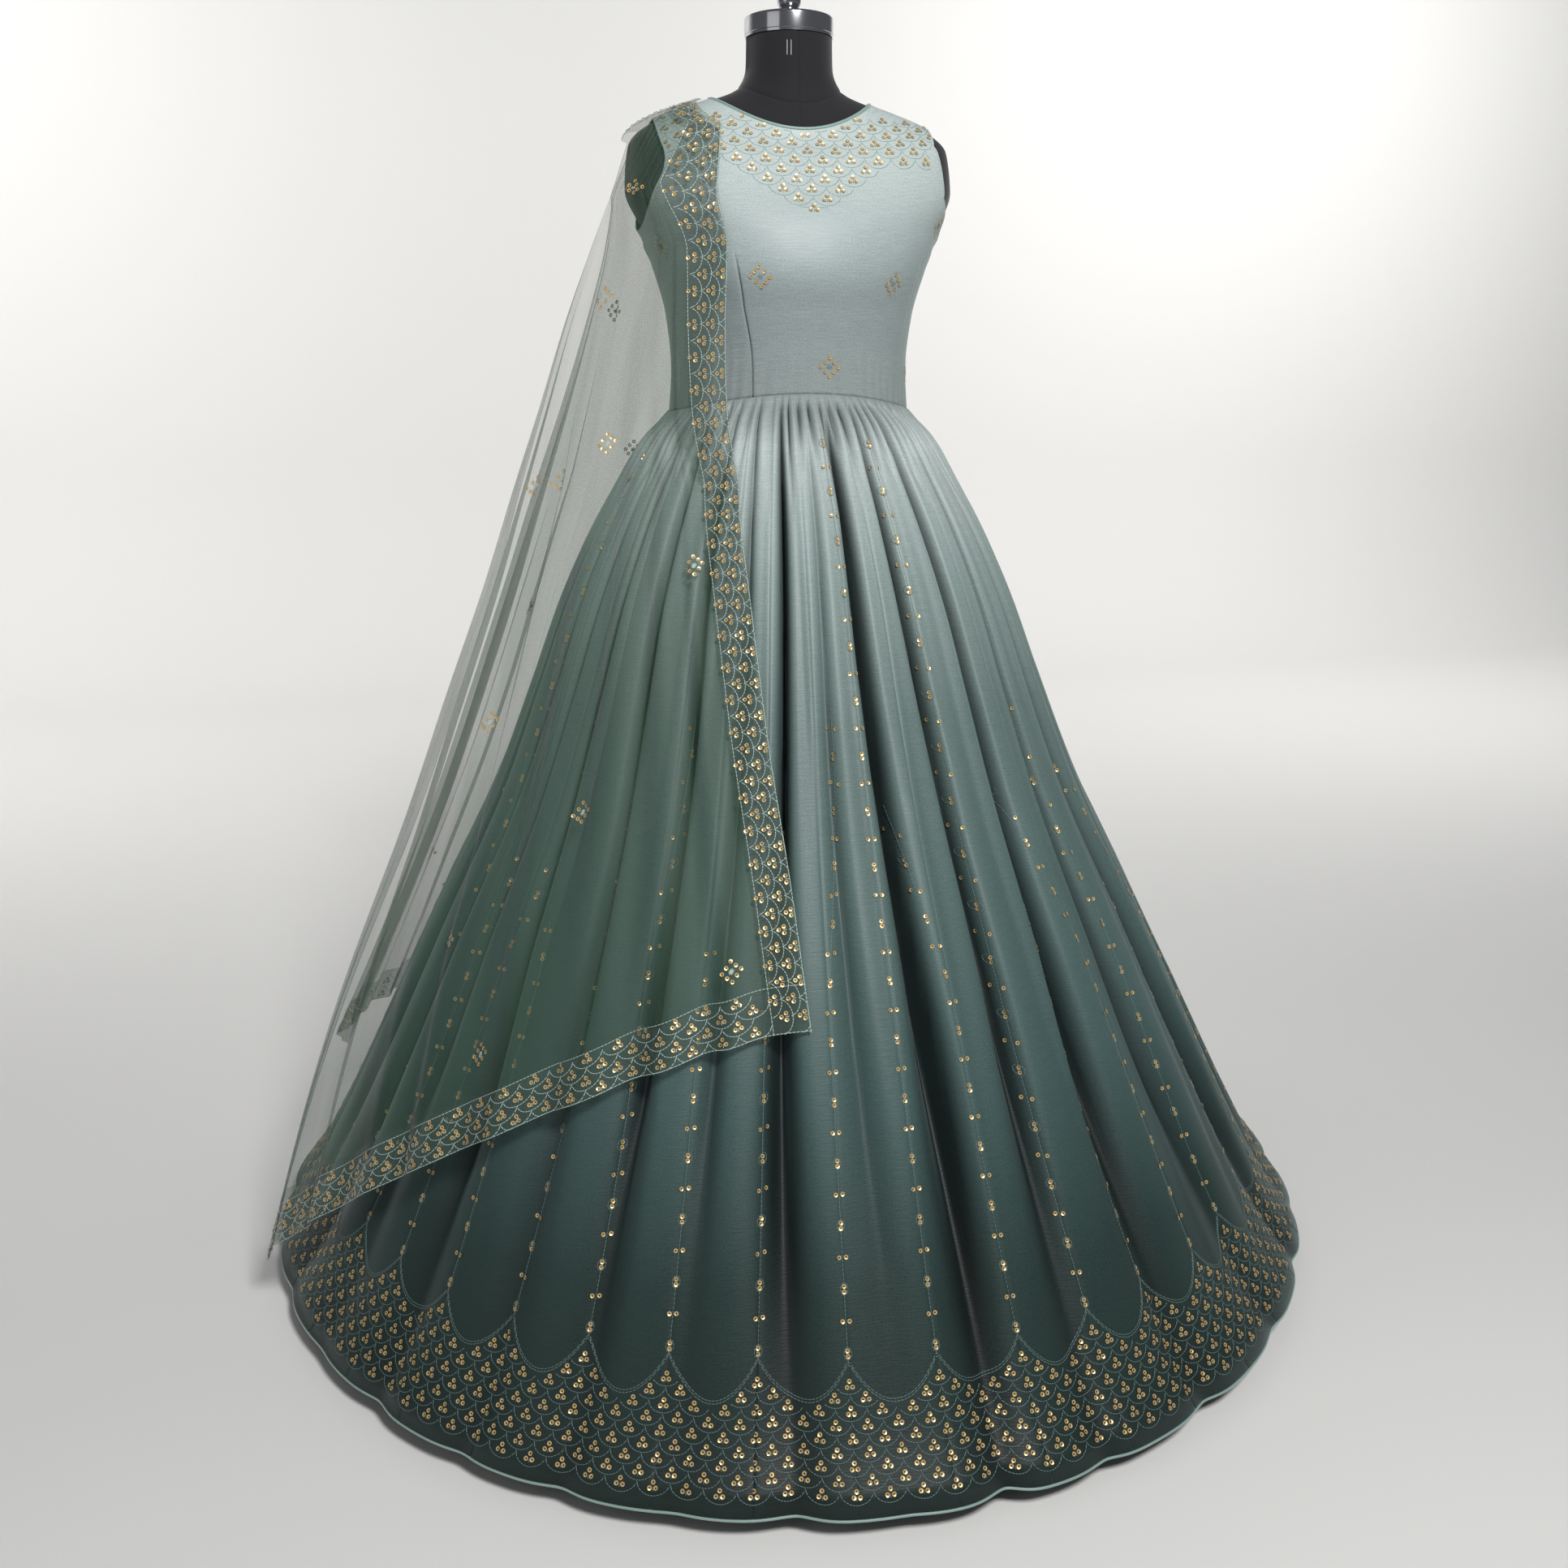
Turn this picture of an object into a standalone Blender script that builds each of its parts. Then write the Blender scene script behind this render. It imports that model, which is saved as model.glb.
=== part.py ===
# A floor-length sleeveless gown on a dress form, with a sheer drape over one shoulder.
# Metres, +Z up, the front faces -Y, and the origin is the centre of the stand's base on the floor.
# Cloth pieces are thin closed walls around smooth surfaces that are worked out from short tables.
import math
from collections import namedtuple

import bpy
import numpy as np

# Cloth
GOWN_WALL = 0.0015
NET_WALL = 0.0012
SEAM_GAP = 0.0003
PIPING_RADIUS = 0.0016

# The form's rings, from the hips up to the neck. A ring's height changes from its front round to its side and
# its back. Ease is how far the bodice stands off the form there.
Ring = namedtuple("Ring", "name half_width front back side_z front_z back_z power ease")
FIGURE = [
    Ring("hip_end", 0.152, 0.088, 0.104, 0.850, 0.850, 0.850, 2.0, 0.0020),
    Ring("hip", 0.170, 0.102, 0.124, 0.930, 0.930, 0.930, 2.0, 0.0020),
    Ring("high_hip", 0.158, 0.104, 0.108, 1.010, 1.015, 1.010, 2.0, 0.0020),
    Ring("waist", 0.1490, 0.106, 0.092, 1.088, 1.109, 1.098, 2.0, 0.0022),
    Ring("ribs", 0.1440, 0.112, 0.094, 1.145, 1.160, 1.155, 2.0, 0.0035),
    Ring("under_bust", 0.149, 0.124, 0.099, 1.205, 1.205, 1.212, 2.1, 0.0040),
    Ring("bust", 0.164, 0.137, 0.104, 1.258, 1.246, 1.264, 2.2, 0.0030),
    Ring("underarm", 0.180, 0.127, 0.109, 1.302, 1.295, 1.310, 2.3, 0.0045),
    Ring("arm", 0.201, 0.106, 0.108, 1.350, 1.340, 1.352, 2.5, 0.0045),
    Ring("arm_top", 0.196, 0.090, 0.096, 1.398, 1.372, 1.386, 2.4, 0.0045),
    Ring("shoulder", 0.166, 0.078, 0.080, 1.424, 1.392, 1.411, 2.2, 0.0026),
    Ring("mid_shoulder", 0.132, 0.074, 0.068, 1.438, 1.401, 1.427, 2.1, 0.0015),
    Ring("neckline", 0.100, 0.071, 0.060, 1.449, 1.409, 1.439, 2.0, 0.0011),
    Ring("neck_root", 0.064, 0.058, 0.052, 1.464, 1.440, 1.460, 2.0, 0.0011),
    Ring("neck_low", 0.0525, 0.052, 0.051, 1.488, 1.474, 1.487, 2.0, 0.0011),
    Ring("neck_top", 0.0515, 0.0515, 0.0515, 1.5210, 1.5210, 1.5210, 2.0, 0.0011),
]
RING_INDEX = {ring.name: index for index, ring in enumerate(FIGURE)}
ARMHOLE_ANGLE = math.radians(23)

# The skirt's outline over its fold crests, from the waist (fall 0) to the hem (fall 1)
Section = namedtuple("Section", "fall half_width front back")
SKIRT = [
    Section(0.000, 0.1535, 0.1100, 0.0960),
    Section(0.030, 0.1880, 0.1440, 0.1310),
    Section(0.080, 0.2220, 0.1820, 0.1700),
    Section(0.140, 0.2590, 0.2240, 0.2140),
    Section(0.215, 0.2970, 0.2670, 0.2590),
    Section(0.310, 0.3360, 0.3130, 0.3070),
    Section(0.440, 0.3920, 0.3780, 0.3740),
    Section(0.590, 0.4720, 0.4660, 0.4630),
    Section(0.745, 0.5520, 0.5530, 0.5520),
    Section(0.875, 0.6200, 0.6270, 0.6250),
    Section(0.950, 0.6640, 0.6740, 0.6720),
    Section(1.000, 0.7050, 0.7170, 0.7140),
]
HEM_Z = 0.030

# The skirt's largest folds, round from the front to the wearer's left. Each row is the valley that a fold starts
# at: its angle in degrees, its depth below the outline, and the drop of the crest that follows, in millimetres.
Fold = namedtuple("Fold", "angle valley crest")
FOLDS = [
    Fold(-174, 24, 3),
    Fold(-163, 30, 0),
    Fold(-150, 18, 4),
    Fold(-139, 34, 2),
    Fold(-127, 22, 0),
    Fold(-116, 28, 5),
    Fold(-106, 16, 1),
    Fold(-95, 30, 0),
    Fold(-84, 20, 4),
    Fold(-74, 26, 2),
    Fold(-64, 18, 5),
    Fold(-54, 30, 0),
    Fold(-42, 22, 3),
    Fold(-31, 28, 2),
    Fold(-21, 18, 4),
    Fold(-12, 38, 3),
    Fold(-3, 12, 0),
    Fold(6, 46, 1),
    Fold(17, 30, 4),
    Fold(30, 34, 0),
    Fold(43, 26, 2),
    Fold(56, 32, 1),
    Fold(68, 20, 4),
    Fold(79, 30, 0),
    Fold(90, 18, 3),
    Fold(101, 28, 1),
    Fold(113, 34, 0),
    Fold(126, 20, 5),
    Fold(137, 28, 2),
    Fold(149, 36, 0),
    Fold(162, 18, 3),
    Fold(174, 26, 1),
]
CREST_BREADTH = 1.55
FOLD_FULL = 0.45
FOLD_ONSET = 0.6

# Kalis are the skirt's long tapered panels. Three neighbours make one node.
KALI_COUNT = 42
KALIS_PER_NODE = 3
KALI_TURN = 2 * math.pi / KALI_COUNT
FIRST_SEAM = math.radians(-15.2)
GATHER_COUNT = 84
GATHER_HEIGHT = 0.0028
GATHER_END = 0.30
SKIRT_ROWS = [0.0, 0.03, 0.08, 0.16, 0.27, 0.42, 0.60, 0.78, 0.90, 1.0]
SKIRT_COLUMNS_PER_NODE = 12

# The drape hangs from the wearer's right shoulder. A level gives its height, the angles of the front half's inner
# and outer edges, the outer edge's distance from the axis, and the same for the half behind.
Level = namedtuple("Level", "z front_inner front_outer front_reach back_inner back_outer back_reach")
DRAPE_LEVELS = [
    Level(1.345, -44, -80, 0.222, -130, -98, 0.214),
    Level(1.280, -38, -86, 0.246, -128, -96, 0.226),
    Level(1.200, -37, -91, 0.275, -128, -94, 0.248),
    Level(1.090, -34, -94, 0.310, -131, -92, 0.282),
    Level(1.000, -28, -95, 0.340, -137, -91, 0.312),
    Level(0.880, -21, -96, 0.378, -143, -90, 0.350),
    Level(0.740, -16, -96, 0.430, -149, -90, 0.400),
    Level(0.560, -11, -95, 0.500, -153, -90, 0.470),
    Level(0.360, -8, -89, 0.592, -156, -90, 0.560),
    Level(0.060, -6, -76, 0.726, -158, -90, 0.705),
]
HANG_TOP_Z = 1.275
HANG_FOOT_Z = 1.010
DRAPE_WIDTH = 0.90
BORDER_WIDTH = 0.042
BORDER_SHARE = BORDER_WIDTH / DRAPE_WIDTH
FRONT_INNER_END = 0.452
FRONT_OUTER_END = 0.065
FRONT_END_BEND = 1.5
BACK_INNER_END = 0.170
BACK_OUTER_END = 0.430
DRAPE_PLEATS = 8
DRAPE_CLEARANCE = 0.0060
SHOULDER_CLEARANCE = 0.0022
SHOULDER_EXTRA = 0.0060
CHEST_PART = 0.62
SHOULDER_BORDER = 0.040

# The stand
BASE_RADIUS = 0.190
BASE_HEIGHT = 0.016
POLE_RADIUS = 0.0125
CAP_RADIUS = 0.0535
CAP_HEIGHT = 0.024
KNOB_RADIUS = 0.0145

COLOURS = {
    "gown_cloth": (0.20, 0.27, 0.27),
    "net": (0.38, 0.47, 0.41),
    "net_border": (0.22, 0.30, 0.28),
    "piping": (0.74, 0.82, 0.80),
    "form_cover": (0.022, 0.022, 0.025),
    "chrome": (0.70, 0.70, 0.72),
}


def clear_scene():
    for item in list(bpy.data.objects):
        bpy.data.objects.remove(item)


def material(name, roughness=0.6, metallic=0.0):
    made = bpy.data.materials.get(name)
    if made is None:
        made = bpy.data.materials.new(name)
        made.use_nodes = True
        shader = made.node_tree.nodes["Principled BSDF"]
        shader.inputs["Base Color"].default_value = (*COLOURS[name], 1.0)
        shader.inputs["Roughness"].default_value = roughness
        shader.inputs["Metallic"].default_value = metallic
    return made


def smooth(share):
    """0 to 1 with level ends."""
    share = min(max(share, 0.0), 1.0)
    return share * share * (3 - 2 * share)


def unit(vector):
    return vector / np.linalg.norm(vector)


def table_value(table, places, column, place):
    """A column of a table at a place between its rows, on a smooth curve that doesn't overshoot."""
    values = [getattr(row, column) for row in table]
    last = len(values) - 1
    index = min(max(int(np.searchsorted(places, place, side="right")) - 1, 0), last - 1)

    def slope(row):
        if row in (0, last):
            near = min(row, last - 1)
            return (values[near + 1] - values[near]) / (places[near + 1] - places[near])
        before = (values[row] - values[row - 1]) / (places[row] - places[row - 1])
        after = (values[row + 1] - values[row]) / (places[row + 1] - places[row])
        return 0.0 if before * after <= 0 else 2 * before * after / (before + after)

    step = places[index + 1] - places[index]
    share = (place - places[index]) / step
    square = share * share
    cube = square * share
    return (
        (2 * cube - 3 * square + 1) * values[index]
        + (cube - 2 * square + share) * step * slope(index)
        + (3 * square - 2 * cube) * values[index + 1]
        + (cube - square) * step * slope(index + 1)
    )


RING_PLACES = list(range(len(FIGURE)))
SKIRT_PLACES = [section.fall for section in SKIRT]
# Heights run downwards, so their places are counted down from zero
LEVEL_PLACES = [-level.z for level in DRAPE_LEVELS]


def signed_power(value, power):
    return math.copysign(abs(value) ** power, value)


def figure_base(angle, place):
    """A point on the form. Angle 0 is the front and grows towards the wearer's left. Place counts the rings."""
    ring = {
        column: table_value(FIGURE, RING_PLACES, column, place)
        for column in ("half_width", "front", "back", "side_z", "front_z", "back_z", "power")
    }
    across = signed_power(math.sin(angle), 2 / ring["power"])
    along = signed_power(math.cos(angle), 2 / ring["power"])
    depth = ring["front"] if along > 0 else ring["back"]
    end_z = ring["front_z"] if along > 0 else ring["back_z"]
    side_share = math.sin(angle) ** 2
    height = end_z + (ring["side_z"] - end_z) * side_share
    return np.array([ring["half_width"] * across, -depth * along, height])


def surface_normal(surface, first, second, step=1e-3):
    """The unit normal of surface(first, second), by small steps."""
    along_first = surface(first + step, second) - surface(first - step, second)
    along_second = surface(first, second + step) - surface(first, second - step)
    return unit(np.cross(along_first, along_second))


def figure_point(angle, place, offset):
    top = len(FIGURE) - 1
    kept = min(max(place, 1e-3), top - 1e-3)
    return figure_base(angle, place) + surface_normal(figure_base, angle, kept) * offset


def ease_at(place):
    return table_value(FIGURE, RING_PLACES, "ease", place)


def make_object(name, points, faces, material_name, smooth_angle=50, **finish):
    mesh = bpy.data.meshes.new(name)
    mesh.from_pydata([tuple(point) for point in points], [], faces)
    mesh.materials.append(material(material_name, **finish))
    made = bpy.data.objects.new(name, mesh)
    gown_parts.objects.link(made)
    mesh.shade_smooth()
    mesh.set_sharp_from_angle(angle=math.radians(smooth_angle))
    return made


def cloth_wall(name, faces_at, columns, rows, material_name, **finish):
    """A closed wall. faces_at(column, row) gives the outer and the inner point, columns run to the left seen from
    outside, and rows run up."""
    pairs = [[faces_at(column, row) for column in columns] for row in rows]
    across = len(columns)
    layer = across * len(rows)
    points = [pair[0] for line in pairs for pair in line] + [pair[1] for line in pairs for pair in line]
    faces = []
    for row in range(len(rows) - 1):
        for column in range(across - 1):
            a = row * across + column
            b = a + 1
            c = b + across
            d = a + across
            faces += [(a, b, c), (a, c, d)]
            faces += [(layer + a, layer + c, layer + b), (layer + a, layer + d, layer + c)]
    top = (len(rows) - 1) * across
    rim = list(range(across))
    rim += [row * across + across - 1 for row in range(1, len(rows))]
    rim += [top + column for column in reversed(range(across - 1))]
    rim += [row * across for row in reversed(range(1, len(rows) - 1))]
    for here, after in zip(rim, rim[1:] + rim[:1]):
        faces += [(here, layer + here, layer + after), (here, layer + after, after)]
    return make_object(name, points, faces, material_name, **finish)


def evenly(start, end, count):
    return [start + (end - start) * index / count for index in range(count + 1)]


def tube(name, centres, radius, sides, material_name, **finish):
    """A closed loop of piping around a ring of centres that all lie about the vertical axis."""
    points = []
    count = len(centres)
    for index, centre in enumerate(centres):
        along = unit(centres[(index + 1) % count] - centres[index - 1])
        outward = unit(np.cross(along, np.array([0.0, 0.0, 1.0])))
        upward = np.cross(outward, along)
        for side in range(sides):
            turn = 2 * math.pi * (side + 0.5) / sides
            points.append(centre + radius * (math.cos(turn) * outward + math.sin(turn) * upward))
    faces = []
    for index in range(count):
        for side in range(sides):
            a = index * sides + side
            b = index * sides + (side + 1) % sides
            c = (index + 1) % count * sides + (side + 1) % sides
            d = (index + 1) % count * sides + side
            faces.append((a, d, c, b))
    return make_object(name, points, faces, material_name, **finish)


def turned(name, profile, segments, material_name, **finish):
    """A solid turned about the vertical axis. The profile lists (radius, height) from the top down, and both of
    its ends are on the axis."""
    points = [(0.0, 0.0, profile[0][1])]
    inner = profile[1:-1]
    for radius, height in inner:
        for index in range(segments):
            turn = 2 * math.pi * index / segments
            points.append((radius * math.cos(turn), radius * math.sin(turn), height))
    points.append((0.0, 0.0, profile[-1][1]))
    bottom = len(points) - 1
    last = 1 + (len(inner) - 1) * segments
    faces = []
    for index in range(segments):
        after = (index + 1) % segments
        faces.append((0, 1 + index, 1 + after))
        faces.append((bottom, last + after, last + index))
        for ring in range(len(inner) - 1):
            a = 1 + ring * segments
            b = a + segments
            faces.append((a + index, b + index, b + after, a + after))
    return make_object(name, points, faces, material_name, smooth_angle=30, **finish)


# The form

def make_torso():
    columns = 44
    places = [0, 1, 2, 3, 4, 5, 5.5, 6, 6.5, 7, 7.5, 8, 8.5, 9, 9.5, 10, 10.5, 11, 12, 12.5, 13, 14, 15]
    points = []
    for place in places:
        for column in range(columns):
            points.append(figure_base(2 * math.pi * column / columns, place))
    faces = []
    for row in range(len(places) - 1):
        for column in range(columns):
            after = (column + 1) % columns
            a = row * columns + column
            b = row * columns + after
            faces.append((a, b, b + columns, a + columns))
    for row, turn in ((0, -1), (len(places) - 1, 1)):
        centre = len(points)
        ring = [row * columns + column for column in range(columns)]
        points.append(np.mean([points[index] for index in ring], axis=0))
        for here, after in zip(ring, ring[1:] + ring[:1]):
            faces.append((centre, here, after) if turn > 0 else (centre, after, here))
    make_object("form_torso", points, faces, "form_cover", roughness=0.75)


def make_stand():
    torso_end = FIGURE[0].side_z - SEAM_GAP
    collar_radius = 0.030
    collar_height = 0.020
    profile = [
        (0.0, torso_end),
        (collar_radius, torso_end),
        (collar_radius, torso_end - collar_height),
        (POLE_RADIUS, torso_end - collar_height),
        (POLE_RADIUS, BASE_HEIGHT + 0.020),
        (0.024, BASE_HEIGHT + 0.008),
        (0.060, BASE_HEIGHT),
        (BASE_RADIUS - 0.006, BASE_HEIGHT - 0.006),
        (BASE_RADIUS, BASE_HEIGHT - 0.011),
        (BASE_RADIUS, 0.0),
        (0.0, 0.0),
    ]
    turned("stand", profile, 32, "chrome", roughness=0.25, metallic=1.0)


def make_neck_cap():
    bottom = FIGURE[-1].side_z + SEAM_GAP
    top = bottom + CAP_HEIGHT
    knob_centre = top + 0.004 + KNOB_RADIUS
    knob = []
    for step in range(1, 7):
        turn = math.radians(25 * step)
        knob.append((KNOB_RADIUS * math.sin(turn), knob_centre + KNOB_RADIUS * math.cos(turn)))
    profile = [(0.0, knob_centre + KNOB_RADIUS)] + knob
    profile += [
        (0.010, top + 0.002),
        (0.030, top),
        (CAP_RADIUS - 0.003, top - 0.002),
        (CAP_RADIUS, top - 0.005),
        (CAP_RADIUS, bottom),
        (0.0, bottom),
    ]
    turned("neck_cap", profile, 28, "chrome", roughness=0.18, metallic=1.0)


# The bodice

def armhole_opening(place):
    """How far the armhole's edge lies from the side and shoulder seams, as an angle."""
    low = RING_INDEX["underarm"] + 0.05
    high = RING_INDEX["shoulder"]
    if place <= low or place >= high:
        return 0.0
    return ARMHOLE_ANGLE * math.sin(math.pi * (place - low) / (high - low)) ** 0.6


def bodice_pair(angle, place):
    base = ease_at(place)
    return (
        figure_point(angle, place, base + GOWN_WALL),
        figure_point(angle, place, base),
    )


BODICE_PLACES = evenly(3, 11.9, 36)
BODICE_ROWS = [3, 3.5, 4, 5, 5.5, 6, 6.5, 7.05, 7.5, 8, 8.5, 9, 9.5, 10, 10.5, 11, 12]


def bodice_half_gap(place):
    width = table_value(FIGURE, RING_PLACES, "half_width", place)
    return SEAM_GAP / width


def make_bodice_front():
    columns = evenly(-1, 1, 20)

    def faces_at(column, place):
        edge = math.pi / 2 - armhole_opening(place) - bodice_half_gap(place) * 2
        return bodice_pair(column * edge, place)

    cloth_wall("bodice_front", faces_at, columns, BODICE_ROWS, "gown_cloth")


def make_bodice_back(name, side):
    columns = evenly(0, 1, 10)

    def faces_at(column, place):
        share = column if side > 0 else 1 - column
        outer = math.pi / 2 + armhole_opening(place) + bodice_half_gap(place) * 2
        centre = math.pi - bodice_half_gap(place) * 1.5
        return bodice_pair(side * (outer + (centre - outer) * share), place)

    cloth_wall(name, faces_at, columns, BODICE_ROWS, "gown_cloth")


def make_neck_binding():
    place = RING_INDEX["neckline"]
    middle = ease_at(place) + GOWN_WALL / 2
    centres = []
    count = 44
    for index in range(count):
        angle = 2 * math.pi * index / count
        edge = figure_point(angle, place, middle)
        up = unit(figure_point(angle, place + 0.02, middle) - edge)
        centres.append(edge + up * (PIPING_RADIUS + SEAM_GAP + 0.0002))
    tube("neck_binding", centres, PIPING_RADIUS, 5, "piping")


# The skirt

def waist_z(angle):
    return figure_base(angle, RING_INDEX["waist"])[2]


FOLD_ANGLES = [math.radians(fold.angle) for fold in FOLDS]


def fold_drop(angle):
    """How far the cloth lies below its outline at an angle, in metres: broad crests and narrow valleys."""
    turn = (angle - FOLD_ANGLES[0]) % (2 * math.pi) + FOLD_ANGLES[0]
    index = int(np.searchsorted(FOLD_ANGLES, turn, side="right")) - 1
    here = FOLDS[index]
    after = FOLDS[(index + 1) % len(FOLDS)]
    end = FOLD_ANGLES[index + 1] if index + 1 < len(FOLDS) else FOLD_ANGLES[0] + 2 * math.pi
    share = (turn - FOLD_ANGLES[index]) / (end - FOLD_ANGLES[index])
    crest_share = (1 + math.cos(math.pi * abs(2 * share - 1) ** CREST_BREADTH)) / 2
    valley = here.valley if share < 0.5 else after.valley
    return (valley + (here.crest - valley) * crest_share) / 1000


def gather_wave(angle, fall):
    """The small gathers at the waist, which run out into the folds."""
    rise = 0.4 + 0.6 * smooth(fall / 0.03)
    fade = 1 - smooth((fall - 0.08) / (GATHER_END - 0.08))
    phase = GATHER_COUNT * (angle - FIRST_SEAM)
    return GATHER_HEIGHT * rise * fade * (math.cos(phase) - 1) / 2


def skirt_base(angle, fall):
    """The middle of the skirt's wall."""
    sizes = {
        column: table_value(SKIRT, SKIRT_PLACES, column, min(max(fall, 0.0), 1.0))
        for column in ("half_width", "front", "back")
    }
    depth = sizes["front"] if math.cos(angle) > 0 else sizes["back"]
    top = waist_z(angle) - SEAM_GAP
    height = top + (HEM_Z - top) * fall
    point = np.array([sizes["half_width"] * math.sin(angle), -depth * math.cos(angle), height])
    outward = unit(np.array([math.sin(angle) / sizes["half_width"], -math.cos(angle) / depth, 0.0]))
    spread = smooth(fall / FOLD_FULL) ** FOLD_ONSET
    drop = fold_drop(angle) * spread - gather_wave(angle, fall)
    return point - outward * drop


def skirt_pair(angle, fall):
    middle = skirt_base(angle, fall)
    kept = min(max(fall, 1e-3), 1 - 1e-3)
    # the surface's angle and fall run clockwise seen from outside, so the normal is turned
    normal = -surface_normal(skirt_base, angle, kept)
    if fall == 0:
        normal = unit(np.array([normal[0], normal[1], 0.0]))
    half = normal * GOWN_WALL / 2
    return middle + half, middle - half


def make_skirt():
    node_turn = KALI_TURN * KALIS_PER_NODE
    rows = list(reversed(SKIRT_ROWS))
    for node in range(KALI_COUNT // KALIS_PER_NODE):
        start = FIRST_SEAM + node * node_turn

        def faces_at(column, fall, start=start):
            width = table_value(SKIRT, SKIRT_PLACES, "half_width", fall)
            gap = 0.8 * SEAM_GAP / width
            inside = min(max(column, gap / node_turn), 1 - gap / node_turn)
            return skirt_pair(start + node_turn * inside, fall)

        columns = evenly(0, 1, SKIRT_COLUMNS_PER_NODE)
        cloth_wall(f"skirt_kalis_{node + 1:02d}", faces_at, columns, rows, "gown_cloth")


def make_hem_piping():
    count = KALI_COUNT // KALIS_PER_NODE * SKIRT_COLUMNS_PER_NODE
    centres = []
    for index in range(count):
        angle = FIRST_SEAM + 2 * math.pi * index / count
        edge = skirt_base(angle, 1.0)
        centres.append(edge - np.array([0.0, 0.0, PIPING_RADIUS + 2.5 * SEAM_GAP]))
    tube("hem_piping", centres, PIPING_RADIUS, 4, "piping")


# The drape

def figure_reach(angle, height):
    """How far the bodice reaches from the axis at an angle and a height."""
    heights = []
    reaches = []
    side = abs(math.remainder(angle, 2 * math.pi))
    for place in BODICE_PLACES:
        half_width, front, back, power = (
            table_value(FIGURE, RING_PLACES, column, place)
            for column in ("half_width", "front", "back", "power")
        )
        depth = front if side < math.pi / 2 else back
        steepness = abs(math.tan(side)) * depth / half_width
        turn = math.atan(steepness ** (power / 2))
        point = figure_base(turn if side < math.pi / 2 else math.pi - turn, place)
        heights.append(point[2])
        reaches.append(math.hypot(point[0], point[1]) + ease_at(place) + GOWN_WALL)
    return float(np.interp(height, heights, reaches))


def cloth_reach(angle, height):
    """How far the gown's own cloth reaches from the axis at an angle and a height."""
    top = waist_z(angle)
    above = figure_reach(angle, height)
    if height >= top:
        return above
    fall = (top - height) / (top - HEM_Z)
    half_width = table_value(SKIRT, SKIRT_PLACES, "half_width", fall)
    depth = table_value(SKIRT, SKIRT_PLACES, "front" if math.cos(angle) > 0 else "back", fall)
    below = 1 / math.hypot(math.sin(angle) / half_width, math.cos(angle) / depth)
    return max(above, below) if fall < SKIRT_ROWS[1] else below


def hang_reach(angle, height):
    """The gown's reach, bridged where the drape hangs straight from the bust and the shoulder blade to the skirt."""
    reach = cloth_reach(angle, height)
    if HANG_FOOT_Z < height < HANG_TOP_Z:
        part = (height - HANG_FOOT_Z) / (HANG_TOP_Z - HANG_FOOT_Z)
        bridge = cloth_reach(angle, HANG_FOOT_Z) * (1 - part) + cloth_reach(angle, HANG_TOP_Z) * part
        reach = max(reach, bridge)
    return reach


def across_share(share, border_turn):
    """The border keeps its own width, and the rest of the drape takes up the rest of the turn."""
    if share < BORDER_SHARE:
        return border_turn * share / BORDER_SHARE
    return border_turn + (1 - border_turn) * (share - BORDER_SHARE) / (1 - BORDER_SHARE)


def drape_level(share, height, behind):
    """A point of the drape at a share of its width from the inner edge, at a height."""
    place = -height
    side = "back" if behind else "front"
    inner = math.radians(table_value(DRAPE_LEVELS, LEVEL_PLACES, f"{side}_inner", place))
    outer = math.radians(table_value(DRAPE_LEVELS, LEVEL_PLACES, f"{side}_outer", place))
    reach = table_value(DRAPE_LEVELS, LEVEL_PLACES, f"{side}_reach", place)
    near = hang_reach(inner, height)
    border_turn = min(BORDER_WIDTH / (near * abs(outer - inner)), 0.6)
    turn = across_share(share, border_turn)
    angle = inner + (outer - inner) * turn
    clearance = DRAPE_CLEARANCE + SHOULDER_EXTRA * smooth((height - HANG_TOP_Z) / 0.05)
    near = hang_reach(angle, height) + clearance
    away = smooth((turn - 0.15) / 0.85)
    distance = near + max(reach - near, 0.0) * away
    return np.array([distance * math.sin(angle), -distance * math.cos(angle), height]), turn


def shoulder_point(share, turn):
    """A point where the drape crosses the shoulder. Turn is 0 on the seam and 1 on the chest or the shoulder blade."""
    seam_length = FIGURE[RING_INDEX["neckline"]].half_width - FIGURE[RING_INDEX["arm"]].half_width
    across = across_share(share, SHOULDER_BORDER / abs(seam_length))
    place = RING_INDEX["neckline"] - 0.15 - 2.75 * across - 1.55 * (1 - across) * abs(turn)
    inner_angle = math.radians(55)
    outer_angle = math.radians(24)
    angle = (inner_angle + (outer_angle - inner_angle) * across) * turn
    extra = ease_at(place) + GOWN_WALL + SHOULDER_CLEARANCE + 1.5 * SHOULDER_EXTRA * abs(turn)
    return figure_point(-math.pi / 2 + angle, place, extra)


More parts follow.
